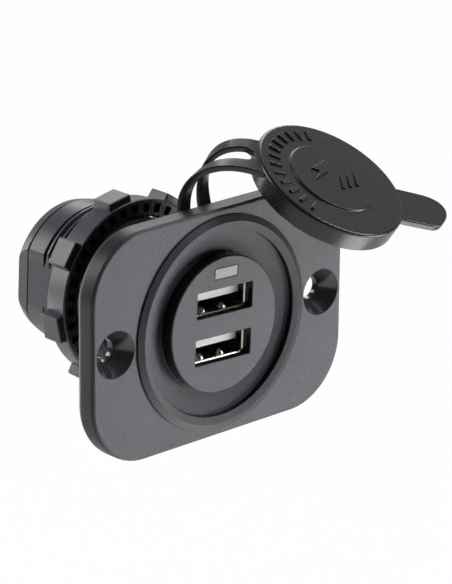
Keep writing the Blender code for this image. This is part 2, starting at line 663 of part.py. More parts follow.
# Ring nut: a slightly conical ring with eight lugs and a ring of pockets in its front face
def make_nut(material):
    back = NUT_FRONT + NUT_LENGTH
    mouth = RUNNING_RADIUS + NUT_CHAMFER
    bm = bmesh.new()
    revolve(bm, [(RUNNING_RADIUS, NUT_FRONT + NUT_CHAMFER), (mouth, NUT_FRONT),
                 (NUT_FRONT_RADIUS - NUT_CHAMFER, NUT_FRONT), (NUT_FRONT_RADIUS, NUT_FRONT + NUT_CHAMFER),
                 (NUT_BACK_RADIUS, back), (mouth, back), (RUNNING_RADIUS, back - NUT_CHAMFER)],
            closed=True)
    nut = add_object("ring_nut", bm, material)

    lugs = bmesh.new()
    root = (RUNNING_RADIUS + NUT_BACK_RADIUS) / 2
    centre = ((root + LUG_RADIUS) / 2, NUT_FRONT + LUG_SETBACK + LUG_LENGTH / 2, 0)
    for index in range(LUG_COUNT):
        turn = about_axis(NUT_TURN + index * math.tau / LUG_COUNT)
        lug = bmesh.new()
        add_box(lug, (LUG_RADIUS - root, LUG_LENGTH, LUG_ROOT_WIDTH), centre)
        tip = [vert for vert in lug.verts if vert.co.x > centre[0]]
        bmesh.ops.scale(lug, verts=tip, vec=(1, 1, LUG_WIDTH / LUG_ROOT_WIDTH))
        edges = [edge for edge in lug.edges if any(vert.co.x > centre[0] for vert in edge.verts)]
        round_edges(lug, edges, LUG_EDGE, segments=1)
        bmesh.ops.transform(lug, verts=lug.verts, matrix=turn)
        mesh = bpy.data.meshes.new("lug")
        lug.to_mesh(mesh)
        lug.free()
        lugs.from_mesh(mesh)
    combine(nut, add_object("nut_lugs", lugs), "UNION")

    pockets = bmesh.new()
    middle = NUT_FRONT_RADIUS - POCKET_SETBACK - POCKET_REACH / 2
    for index in range(POCKET_COUNT):
        turn = about_axis(NUT_TURN + index * math.tau / POCKET_COUNT)
        add_box(pockets, (POCKET_REACH, 2 * POCKET_DEPTH, POCKET_WIDTH), (middle, NUT_FRONT, 0), turn)
    cut(nut, pockets)


# Rubber cap: cup, pull tab, slotted strap and ring are one moulding
def cap_frame():
    """Columns: from the strap towards the tab, across, and out of the cap's top face."""
    facing = CAP_FACING.normalized()
    across = (CAP_ACROSS - facing * CAP_ACROSS.dot(facing)).normalized()
    along = across.cross(facing)
    frame = Matrix((along, across, facing)).transposed().to_4x4()
    return Matrix.Translation(CAP_CENTRE) @ frame


def bezier(points, t):
    a, b, c, d = points
    s = 1 - t
    place = a * s**3 + b * 3 * s * s * t + c * 3 * s * t * t + d * t**3
    heading = (b - a) * s * s + (c - b) * 2 * s * t + (d - c) * t * t
    return place, heading.normalized()


def strap_stations():
    """Rows of (place on the outer face, width direction, half width, half slot, slot open)."""
    frame = cap_frame()
    along, across, facing = (frame.to_3x3().col[i] for i in range(3))
    foot_face = RING_BACK - (RING_THICKNESS - STRAP_THICKNESS) / 2
    foot = Vector((STRAP_FOOT_SHIFT, foot_face, RING_RADIUS - STRAP_FOOT_INSET))
    rise = Vector((0, math.sin(STRAP_FOOT_LEAN), math.cos(STRAP_FOOT_LEAN)))
    head = CAP_CENTRE - along * (CAP_RADIUS - STRAP_EMBED) - facing * STRAP_DROP
    curve = (foot, foot + rise * STRAP_FOOT_HANDLE, head - along * STRAP_HEAD_HANDLE, head)

    rows = [(foot - Vector((0, 0, STRAP_EMBED)), Vector((1, 0, 0)), STRAP_FOOT_WIDTH / 2,
             SLOT_END_SHARE * SLOT_FOOT_WIDTH / 2, False)]
    travelled = 0.0
    places = [bezier(curve, step / STRAP_ROWS) for step in range(STRAP_ROWS + 1)]
    total = sum((b[0] - a[0]).length for a, b in zip(places, places[1:]))
    for step, (place, heading) in enumerate(places):
        t = step / STRAP_ROWS
        if step:
            travelled += (place - places[step - 1][0]).length
        turn = t ** STRAP_TWIST_POWER
        width_way = Vector((1, 0, 0)).lerp(across, turn)
        width_way = (width_way - heading * width_way.dot(heading)).normalized()
        width = STRAP_FOOT_WIDTH + (STRAP_HEAD_WIDTH - STRAP_FOOT_WIDTH) * t
        half = (width - STRAP_WAIST * 4 * t * (1 - t)) / 2
        slot = (SLOT_FOOT_WIDTH + (SLOT_HEAD_WIDTH - SLOT_FOOT_WIDTH) * t) / 2
        inside = min(travelled - SLOT_FOOT_MARGIN, total - SLOT_HEAD_MARGIN - travelled)
        rounding = min(max(inside / slot, 0.0), 1.0)
        slot *= max(SLOT_END_SHARE, math.sqrt(rounding * (2 - rounding)))
        rows.append((place, width_way, half, slot, inside > 0))
    return rows


def strap_sheet(bm):
    """The strap's outer face as a sheet of three columns, the middle one left out at the slot."""
    grid = []
    for place, width_way, half, slot, is_open in strap_stations():
        row = [bm.verts.new(place + width_way * offset) for offset in (-half, -slot, slot, half)]
        grid.append((row, is_open))
    for (near, near_open), (far, far_open) in zip(grid, grid[1:]):
        columns = (0, 2) if near_open or far_open else (0, 1, 2)
        for column in columns:
            bm.faces.new((near[column], near[column + 1], far[column + 1], far[column]))


def make_cap(material):
    bm = bmesh.new()
    revolve(bm, [(RUNNING_RADIUS, SEAT_GAP), (RING_RADIUS, SEAT_GAP), (RING_RADIUS, RING_BACK),
                 (RUNNING_RADIUS, RING_BACK)], closed=True)
    ring = add_object("rubber_cap", bm, material)

    sheet = bmesh.new()
    strap_sheet(sheet)
    mesh = bpy.data.meshes.new("cap_strap")
    sheet.to_mesh(mesh)
    sheet.free()
    strap = bpy.data.objects.new("cap_strap", mesh)
    bpy.context.scene.collection.objects.link(strap)
    wall = strap.modifiers.new("Thickness", "SOLIDIFY")
    wall.thickness = STRAP_THICKNESS
    wall.offset = 1.0
    wall.use_even_offset = True
    combine(ring, strap, "UNION")

    frame = cap_frame()
    upright = Matrix.Rotation(math.pi / 2, 4, "X")
    profile = [(0, CAP_BOSS_RISE), (CAP_BOSS_RADIUS - CAP_BOSS_RISE, CAP_BOSS_RISE), (CAP_BOSS_RADIUS, 0),
               (CAP_RADIUS - CAP_EDGE_ROUND, 0), (CAP_RADIUS - CAP_EDGE_ROUND * 0.3, -CAP_EDGE_ROUND * 0.3),
               (CAP_RADIUS, -CAP_EDGE_ROUND), (CAP_RADIUS - CAP_DRAFT, -CAP_HEIGHT),
               (CAP_INNER_RADIUS, -CAP_HEIGHT), (CAP_INNER_RADIUS, -CAP_TOP), (0, -CAP_TOP)]
    bm = bmesh.new()
    revolve(bm, profile)
    cup = add_object("cap_cup", bm, matrix=frame @ upright)
    combine(ring, cup, "UNION")

    bm = bmesh.new()
    start = CAP_RADIUS - STRAP_EMBED
    near_tip = (CAP_RADIUS + TAB_NEAR_REACH, -TAB_NEAR_EDGE, TAB_NEAR_CORNER)
    far_tip = (CAP_RADIUS + TAB_FAR_REACH, TAB_FAR_EDGE, TAB_FAR_CORNER)
    outline = filleted_outline([(start, -TAB_NEAR_ROOT, 0), near_tip, far_tip, (start, TAB_FAR_ROOT, 0)],
                               steps=8)
    extrude_outline(bm, outline, -TAB_DROP, -TAB_DROP - TAB_THICKNESS,
                    place=lambda a, b, depth: (a, b, depth))
    combine(ring, add_object("cap_tab", bm, matrix=frame), "UNION")


def main():
    clear_scene()
    satin_plastic = make_material("satin black plastic", (0.045, 0.045, 0.05), 0.5)
    glossy_plastic = make_material("nut plastic", (0.04, 0.04, 0.045), 0.4)
    rubber = make_material("black rubber", (0.022, 0.022, 0.026), 0.45)
    steel = make_material("nickel plated steel", (0.78, 0.77, 0.74), 0.22, 1.0)
    white_plastic = make_material("white tongue plastic", (0.85, 0.85, 0.84), 0.45)
    gold = make_material("gold plated contact", (0.83, 0.62, 0.28), 0.25, 1.0)
    lens = make_material("frosted lens", (0.42, 0.38, 0.42), 0.4)
    led = make_material("led body", (0.8, 0.8, 0.78), 0.4)
    board = make_material("green board", (0.03, 0.16, 0.07), 0.5)
    ferrite = make_material("ferrite", (0.06, 0.06, 0.065), 0.6)
    aluminium = make_material("aluminium can", (0.7, 0.7, 0.72), 0.35, 1.0)
    chip = make_material("chip resin", (0.02, 0.02, 0.022), 0.55)
    tinned = make_material("tin plated brass", (0.72, 0.7, 0.66), 0.3, 1.0)

    socket_axis = bpy.data.objects.new("socket_axis", None)
    bpy.context.scene.collection.objects.link(socket_axis)
    socket_axis.rotation_euler = (0, SOCKET_TURN, 0)

    make_plate(satin_plastic)
    make_housing(satin_plastic, socket_axis)
    make_indicator(lens, led, socket_axis)
    for label, rise in PORT_RISES.items():
        make_shell(label, rise, steel, socket_axis)
        make_tongue(label, rise, white_plastic, gold, socket_axis)
    make_boards(board, socket_axis)
    make_inductor(ferrite, socket_axis)
    make_capacitor("input_capacitor", INPUT_CAPACITOR_SETBACK, -CAPACITOR_OFFSET, aluminium, socket_axis)
    make_capacitor("output_capacitor", OUTPUT_CAPACITOR_SETBACK, CAPACITOR_OFFSET, aluminium, socket_axis)
    make_flat_package("regulator_chip", CHIP_SIZE, CHIP_PLACE, -1, chip, socket_axis)
    diode_place = (POWER_BOARD_LENGTH - DIODE_END_SETBACK, DIODE_RISE)
    make_flat_package("rectifier_diode", DIODE_SIZE, diode_place, 1, chip, socket_axis)
    make_cover(satin_plastic, socket_axis)
    make_terminal("positive_terminal", 1, tinned, socket_axis)
    make_terminal("negative_terminal", -1, tinned, socket_axis)
    make_nut(glossy_plastic)
    make_cap(rubber)


main()
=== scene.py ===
import bpy
import bmesh
import math
from mathutils import Matrix, Vector


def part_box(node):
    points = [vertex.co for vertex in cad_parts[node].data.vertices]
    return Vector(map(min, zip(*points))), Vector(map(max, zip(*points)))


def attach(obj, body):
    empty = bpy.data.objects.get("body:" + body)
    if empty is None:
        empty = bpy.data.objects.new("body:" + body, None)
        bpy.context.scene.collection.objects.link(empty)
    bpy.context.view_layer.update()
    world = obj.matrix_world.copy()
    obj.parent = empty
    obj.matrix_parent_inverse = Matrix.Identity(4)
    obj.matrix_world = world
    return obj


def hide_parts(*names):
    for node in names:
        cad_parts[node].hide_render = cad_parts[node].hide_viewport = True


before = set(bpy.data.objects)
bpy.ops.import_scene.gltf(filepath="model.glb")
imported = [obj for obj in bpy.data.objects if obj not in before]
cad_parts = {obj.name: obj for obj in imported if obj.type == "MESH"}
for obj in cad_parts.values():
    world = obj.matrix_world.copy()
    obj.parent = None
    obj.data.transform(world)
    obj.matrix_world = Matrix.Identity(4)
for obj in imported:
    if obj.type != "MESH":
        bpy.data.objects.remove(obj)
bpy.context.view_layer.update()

mm = 0.001

# The scene is in metres, and the sizes in the dictionaries are in millimetres. The socket's axis is +Y,
# its face looks along -Y, and the origin lies on that axis in the plane of the plate's back.
print("frame loaded")


def linearColour(hexColour):
    parts = [int(hexColour[i:i + 2], 16) / 255 for i in (1, 3, 5)]
    return tuple(c / 12.92 if c <= 0.04045 else ((c + 0.055) / 1.055) ** 2.4 for c in parts) + (1.0,)


def addNode(tree, kind, settings=None, inputs=None):
    node = tree.nodes.new(kind)
    for name, value in (settings or {}).items():
        setattr(node, name, value)
    for name, value in (inputs or {}).items():
        if isinstance(value, bpy.types.NodeSocket):
            tree.links.new(value, node.inputs[name])
        else:
            node.inputs[name].default_value = value
    return node


def newMaterial(name):
    material = bpy.data.materials.new(name)
    material.use_nodes = True
    tree = material.node_tree
    return material, tree, tree.nodes["Principled BSDF"]


def spreadColour(tree, shader, pattern, dark, light, low=0.3, high=0.7):
    # the pattern's values from low to high run from the dark colour to the light one
    share = addNode(tree, "ShaderNodeMapRange", inputs={"Value": pattern, "From Min": low, "From Max": high})
    colour = addNode(tree, "ShaderNodeMix", {"data_type": "RGBA"}, {
        0: share.outputs["Result"], 6: linearColour(dark), 7: linearColour(light)})
    tree.links.new(colour.outputs[2], shader.inputs["Base Color"])


def addBump(tree, shader, pattern, depthMm):
    bump = addNode(tree, "ShaderNodeBump", inputs={"Height": pattern, "Distance": depthMm * mm})
    tree.links.new(bump.outputs["Normal"], shader.inputs["Normal"])


# widths and depths of the patterns in millimetres, and how far each roughness strays
patternSizes = {"cloud": 9.0, "cloudShare": 0.25, "plasticSpread": 0.06, "metalBelow": 0.05,
                "metalAbove": 0.1, "streakDepth": 0.004, "weave": 1.1, "weaveDepth": 0.01}


# Moulded plastic: even colour broken by the grain of the tool, with a soft sheen
def mouldedPlastic(name, dark, light, roughness, grainMm, depthMm, level=0.5):
    material, tree, shader = newMaterial(name)
    place = addNode(tree, "ShaderNodeTexCoord").outputs["Object"]
    grain = addNode(tree, "ShaderNodeTexNoise", inputs={
        "Vector": place, "Scale": 1 / (grainMm * mm), "Detail": 2.0, "Roughness": 0.6}).outputs["Fac"]
    cloud = addNode(tree, "ShaderNodeTexNoise", inputs={
        "Vector": place, "Scale": 1 / (patternSizes["cloud"] * mm), "Detail": 2.0}).outputs["Fac"]
    both = addNode(tree, "ShaderNodeMix", inputs={
        0: patternSizes["cloudShare"], 2: grain, 3: cloud}).outputs[0]
    spreadColour(tree, shader, both, dark, light)
    spread = patternSizes["plasticSpread"]
    rough = addNode(tree, "ShaderNodeMapRange", inputs={
        "Value": grain, "From Min": 0.3, "From Max": 0.7, "To Min": roughness - spread,
        "To Max": roughness + spread})
    tree.links.new(rough.outputs["Result"], shader.inputs["Roughness"])
    addBump(tree, shader, grain, depthMm)
    shader.inputs["Specular IOR Level"].default_value = level
    return material


# The tool's real grain is about 0.1 mm wide; it is drawn 0.3 to 0.5 mm wide, so that it shows
# ABS from a spark-eroded tool: dark grey and dull, with tiny bright specks where it tilts to the light
texturedAbs = mouldedPlastic("spark-eroded black ABS", "#302f36", "#47464e", 0.46, 0.3, 0.05, 0.36)
# ABS from a coarser eroded tool: a shade darker as painted shade on the flange's rim, so the rim stands out
# from its recess
coarseShadeAbs = mouldedPlastic("coarser grained black ABS darkened as painted shade", "#2b2a31", "#3a3940", 0.45, 0.4, 0.05, 0.35)
# ABS from a smooth tool: even dark grey with a silky sheen along its curves
satinAbs = mouldedPlastic("satin black ABS", "#3a3940", "#46454d", 0.37, 0.4, 0.015, 0.5)
# ABS from a plain ground tool, coloured near black as painted shade on the plate's sides, with hardly any
# sheen
plainShadeAbs = mouldedPlastic("plain black ABS painted as shade", "#1c1b20", "#232227", 0.4, 0.4, 0.008, 0.25)
# ABS from a polished tool, coloured deep black as painted shade on the nut's front face and the walls of the
# recess and ports; it only shines where it faces a lamp
polishedShadeAbs = mouldedPlastic("polished black ABS painted as shade", "#131317", "#19191d", 0.24, 0.5, 0.002)
# ABS burnished by the countersink: lamps and paper draw fans of light down the cones
sinkAbs = mouldedPlastic("burnished black ABS of the screw sinks", "#2c2b31", "#333238", 0.2, 0.5, 0.002,
                         0.9)
# silicone rubber from a fine-blasted tool: black with a waxy sheen
capRubber = mouldedPlastic("moulded black silicone rubber", "#1c1b21", "#222127", 0.28, 0.35, 0.0015, 0.55)
# nylon with glass fibres: opaque white and faintly mottled
whiteNylon = mouldedPlastic("white glass-filled nylon", "#f0f0ee", "#f8f8f6", 0.5, 0.3, 0.01)
# polycarbonate with a frosted face: pale grey while its lamp is off
lensPlastic = mouldedPlastic("frosted indicator polycarbonate", "#6c666e", "#7b757d", 0.35, 0.4, 0.005)
# clear epoxy over a white reflector: creamy white
ledEpoxy = mouldedPlastic("clear epoxy over a white reflector", "#e2e0d2", "#eeeede", 0.3, 0.4, 0.005)
# moulding compound: flat black and slightly sandy
chipEpoxy = mouldedPlastic("black moulding compound", "#19191b", "#222224", 0.6, 0.2, 0.01)
# pressed and fired ferrite: dry dark grey
ferrite = mouldedPlastic("sintered ferrite", "#3a3a3d", "#47474b", 0.65, 0.25, 0.02)


# Rolled or plated metal: bright, with faint streaks from rolling along one way
def rolledMetal(name, dark, light, roughness, streakMm, stretch):
    material, tree, shader = newMaterial(name)
    place = addNode(tree, "ShaderNodeTexCoord").outputs["Object"]
    squeeze = addNode(tree, "ShaderNodeMapping", inputs={"Vector": place, "Scale": stretch})
    streak = addNode(tree, "ShaderNodeTexNoise", inputs={
        "Vector": squeeze.outputs["Vector"], "Scale": 1 / (streakMm * mm), "Detail": 3.0}).outputs["Fac"]
    spreadColour(tree, shader, streak, dark, light)
    rough = addNode(tree, "ShaderNodeMapRange", inputs={
        "Value": streak, "To Min": roughness - patternSizes["metalBelow"],
        "To Max": roughness + patternSizes["metalAbove"]})
    tree.links.new(rough.outputs["Result"], shader.inputs["Roughness"])
    addBump(tree, shader, streak, patternSizes["streakDepth"])
    shader.inputs["Metallic"].default_value = 1.0
    return material


# nickel over rolled steel strip: a warm, bright mirror with soft streaks
nickelSteel = rolledMetal("nickel-plated steel strip", "#b9b5a8", "#d6d2c6", 0.22, 0.5, (1.0, 0.15, 1.0))
# gold over bronze spring: yellow and bright
goldPlate = rolledMetal("gold-plated bronze", "#c79a4b", "#e0b868", 0.24, 0.3, (1.0, 0.2, 1.0))
# tin over stamped brass: pale and slightly cloudy
tinnedBrass = rolledMetal("tin-plated brass", "#b5b2ab", "#cfccc5", 0.32, 0.4, (1.0, 0.2, 1.0))
# drawn aluminium: bluish white with streaks round the can
canAluminium = rolledMetal("drawn aluminium can", "#b9bbbe", "#d0d2d5", 0.3, 0.4, (0.2, 1.0, 1.0))


# Circuit board: glossy green solder mask, a little uneven over the glass weave
def boardLaminate():
    material, tree, shader = newMaterial("green solder mask on glass epoxy")
    place = addNode(tree, "ShaderNodeTexCoord").outputs["Object"]
    weave = addNode(tree, "ShaderNodeTexVoronoi", {"distance": "CHEBYCHEV"}, {
        "Vector": place, "Scale": 1 / (patternSizes["weave"] * mm), "Randomness": 0.35}).outputs["Distance"]
    spreadColour(tree, shader, weave, "#1c5a3a", "#2a7149", 0.1, 0.8)
    addBump(tree, shader, weave, patternSizes["weaveDepth"])
    shader.inputs["Roughness"].default_value = 0.35
    return material


boardGreen = boardLaminate()
print("materials ready")


# Small modelling helpers
doublesDistance = 0.0005 * mm
quarterTurn = Matrix.Rotation(math.radians(90), 4, "X")


def alongAxis(radius, y):
    return Vector((radius, y, 0))


def spinProfile(bm, points, steps=144, closed=False):
    # points are (radius, y) in millimetres
    verts = [bm.verts.new(alongAxis(radius * mm, y * mm)) for radius, y in points]
    edges = [bm.edges.new(pair) for pair in zip(verts, verts[1:])]
    if closed:
        edges.append(bm.edges.new((verts[-1], verts[0])))
    bmesh.ops.spin(bm, geom=verts + edges, cent=(0, 0, 0), axis=(0, 1, 0), angle=math.tau, steps=steps,
                   use_merge=True)
    bmesh.ops.remove_doubles(bm, verts=bm.verts, dist=doublesDistance)


def roundedProfile(corners, steps=4):
    # each corner is (radius from the axis, y, fillet)
    points = []
    for index, (r, y, fillet) in enumerate(corners):
        here = Vector((r, y))
        if not fillet:
            points.append((r, y))
            continue
        before = Vector(corners[index - 1][:2]) - here
        after = Vector(corners[(index + 1) % len(corners)][:2]) - here
        before.normalize()
        after.normalize()
        half = before.angle(after) / 2
        reach = fillet / math.tan(half)
        middle = here + (before + after).normalized() * fillet / math.sin(half)
        start = here + before * reach - middle
        end = here + after * reach - middle
        turn = start.angle_signed(end)
        for step in range(steps + 1):
            spot = start.copy()
            spot.rotate(Matrix.Rotation(-turn * step / steps, 2))
            points.append(tuple(middle + spot))
    return points


def boxVerts(bm, size, centre, matrix=Matrix.Identity(4)):
    place = matrix @ Matrix.Translation(centre) @ Matrix.Diagonal((*size, 1))
    return bmesh.ops.create_cube(bm, size=1, matrix=place)["verts"]


def bevelEdges(bm, edges, offset, segments=3):
    bmesh.ops.bevel(bm, geom=edges, offset=offset, segments=segments, profile=0.5, affect="EDGES",
                    material=-1, clamp_overlap=True)


def edgesAlong(verts, axis):
    edges = dict.fromkeys(edge for vert in verts for edge in vert.link_edges)
    return [e for e in edges if abs((e.verts[0].co - e.verts[1].co).normalized()[axis]) > 0.999]


def meshObject(name, bm, recalculate=True):
    bmesh.ops.remove_doubles(bm, verts=bm.verts, dist=doublesDistance)
    if recalculate:
        bmesh.ops.recalc_face_normals(bm, faces=bm.faces)
    mesh = bpy.data.meshes.new(name)
    bm.to_mesh(mesh)
    bm.free()
    piece = bpy.data.objects.new(name, mesh)
    bpy.context.scene.collection.objects.link(piece)
    return piece


def booleanWith(piece, toolBm, operation="DIFFERENCE"):
    tool = meshObject(piece.name + "Tool", toolBm)
    modifier = piece.modifiers.new("Cut", "BOOLEAN")
    modifier.object = tool
    modifier.operation = operation
    modifier.solver = "EXACT"
    bpy.context.view_layer.update()
    evaluated = piece.evaluated_get(bpy.context.evaluated_depsgraph_get())
    mesh = bpy.data.meshes.new_from_object(evaluated)
    piece.modifiers.clear()
    piece.data = mesh
    bpy.data.objects.remove(tool, do_unlink=True)


def joinInto(target, source, matrix=None):
    if matrix:
        bmesh.ops.transform(source, matrix=matrix, verts=source.verts)
    bmesh.ops.recalc_face_normals(source, faces=source.faces)
    mesh = bpy.data.meshes.new("joined")
    source.to_mesh(mesh)
    source.free()
    target.from_mesh(mesh)
    bpy.data.meshes.remove(mesh)


def finishPiece(piece, materials, nodes, sharpAngle=35):
    mesh = piece.data
    for material in materials:
        mesh.materials.append(material)
    mesh.shade_smooth()
    mesh.set_sharp_from_angle(angle=math.radians(sharpAngle))
    modifier = piece.modifiers.new("Normals", "WEIGHTED_NORMAL")
    modifier.keep_sharp = True
    modifier.weight = 90
    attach(piece, "root")
    if nodes:
        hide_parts(*nodes)


# The whole socket is turned a little in its plate, clockwise as seen from the front
socketTurn = Matrix.Rotation(math.radians(2.4), 4, "Y")

# Mounting plate: rounded slab with a stepped hole for the socket and two countersunk screw holes
plate = {"width": 59.0, "height": 41.9, "thickness": 4.4, "corner": 12.0, "frontRound": 0.6,
         "backRound": 1.3, "screwSpacing": 48.8, "screwHole": 2.05, "sinkRadius": 4.2, "sinkDepth": 3.0,
         "sinkEdge": 0.12, "sinkBlend": 0.1, "exitEdge": 0.2, "exitNick": 0.05, "seatRadius": 18.3,
         "ledge": 1.7, "hole": 13.7, "cutOver": 1.0}


def makePlate():
    bm = bmesh.new()
    depth = plate["thickness"] * mm
    verts = boxVerts(bm, (plate["width"] * mm, depth, plate["height"] * mm), (0, -depth / 2, 0))
    bevelEdges(bm, edgesAlong(verts, 1), plate["corner"] * mm, 28)
    front = [e for e in bm.edges if all(v.co.y < -depth + 1e-6 for v in e.verts)]
    bevelEdges(bm, front, plate["frontRound"] * mm, 5)
    back = [e for e in bm.edges if all(v.co.y > -1e-6 for v in e.verts)]
    bevelEdges(bm, back, plate["backRound"] * mm, 5)
    piece = meshObject("mountingPlateBody", bm)

    face, over = -plate["thickness"], plate["cutOver"]
    tool = bmesh.new()
    spinProfile(tool, [(0, face - over), (plate["seatRadius"], face - over),
                       (plate["seatRadius"], -plate["ledge"]), (plate["hole"], -plate["ledge"]),
                       (plate["hole"], over), (0, over)])
    booleanWith(piece, tool)

    sink, edge, hole = plate["sinkRadius"], plate["sinkEdge"], plate["screwHole"]
    blend, nick, outlet = plate["sinkBlend"], plate["exitNick"], plate["screwHole"] + plate["exitEdge"]
    foot = face + plate["sinkDepth"]
    screwX = plate["screwSpacing"] / 2 * mm
    for side in (-1, 1):
        tool = bmesh.new()
        spinProfile(tool, [
            (0, face - over), (sink + edge, face - over), (sink + edge, face - 0.01), (sink, face + edge),
            (hole + blend, foot - blend), (hole, foot + blend / 2), (hole, nick - plate["exitEdge"]),
            (outlet, nick), (outlet, over), (0, over)], steps=96)
        bmesh.ops.translate(tool, verts=tool.verts, vec=(side * screwX, 0, 0))
        booleanWith(piece, tool)
    # slots: 0 front and back, 1 the screw sinks, 2 the plate's sides, darker as painted shade
    for polygon in piece.data.polygons:
        tilt = abs(polygon.normal.y)
        fromScrew = math.hypot(abs(polygon.center.x) - screwX, polygon.center.z)
        inSink = fromScrew < sink * mm and tilt < 0.95
        polygon.material_index = 1 if inSink else 2 if tilt < 0.2 else 0
    finishPiece(piece, [texturedAbs, sinkAbs, plainShadeAbs], ["mounting_plate"], 40)


makePlate()
print("plate made")

# Socket housing: flange, sunk ring, raised face, threaded barrel with two flats
housing = {"face": -5.3, "faceRadius": 12.45, "faceWall": 1.4, "floorInner": -2.75, "floorOuter": -3.9,
           "rimInner": 16.95, "rimStep": -4.9, "rimOuter": 18.4, "rimTop": -5.2, "flange": 19.6,
           "foot": -4.6, "tub": 18.0, "tubBack": -2.0, "neckEnd": 2.5, "crest": 13.4, "root": 12.4,
           "pitch": 1.5, "threadEnd": 29.6, "tail": 13.3, "tailEdge": 0.15, "end": 33.65, "bore": 10.8,
           "flat": 11.85}
port = {"width": 13.0, "height": 4.7, "pitch": 8.6, "chamfer": 0.12, "corner": 0.25, "cut": 3.0}
portRises = {"upper": port["pitch"] / 2, "lower": -port["pitch"] / 2}
window = {"width": 5.3, "height": 1.9, "rise": 9.45, "gap": 0.03, "corner": 0.22, "edge": 0.05}


def sliceFlats(bm):
    for side in (-1, 1):
        made = bmesh.ops.bisect_plane(bm, geom=bm.verts[:] + bm.edges[:] + bm.faces[:], dist=1e-7,
                                      plane_co=(side * housing["flat"] * mm, 0, 0),
                                      plane_no=(side, 0, 0), clear_outer=True)
        edges = [item for item in made["geom_cut"] if isinstance(item, bmesh.types.BMEdge)]
        bmesh.ops.contextual_create(bm, geom=edges)


def openLoop(bm, y):
    return [e for e in bm.edges if e.is_boundary and all(abs(v.co.y - y) < 1e-6 for v in e.verts)]


def addThread(bm):
    # one pitch of trapezoidal thread is screwed round the axis, then both ends are cut square
    pitch, root, crest = (housing[key] * mm for key in ("pitch", "root", "crest"))
    start, end = housing["neckEnd"] * mm, housing["threadEnd"] * mm
    turns = math.ceil((end - start) / pitch) + 3
    steps = 96
    tooth = [(root, 0), (root, 0.46), (crest, 0.6), (crest, 0.86), (root, 1)]  # radius, share of the pitch
    verts = [bm.verts.new(alongAxis(r, start + (share - 2) * pitch)) for r, share in tooth]
    edges = [bm.edges.new(pair) for pair in zip(verts, verts[1:])]
    bmesh.ops.spin(bm, geom=verts + edges, cent=(0, 0, 0), axis=(0, 1, 0), dvec=(0, pitch / steps, 0),
                   angle=turns * math.tau, steps=turns * steps)
    bmesh.ops.remove_doubles(bm, verts=bm.verts, dist=0.002 * mm)
    for y, normal in ((start, -1), (end, 1)):
        bmesh.ops.bisect_plane(bm, geom=bm.verts[:] + bm.edges[:] + bm.faces[:], dist=1e-7,
                               plane_co=(0, y, 0), plane_no=(0, normal, 0), clear_outer=True)
    inner = []
    for y in (start, end):
        outer = openLoop(bm, y)
        made = bmesh.ops.create_circle(bm, segments=96, radius=housing["bore"] * mm,
                                       matrix=Matrix.Translation((0, y, 0)) @ quarterTurn)
        circle = list(dict.fromkeys(e for v in made["verts"] for e in v.link_edges))
        bmesh.ops.bridge_loops(bm, edges=outer + circle)
        inner += circle
    bmesh.ops.bridge_loops(bm, edges=inner)


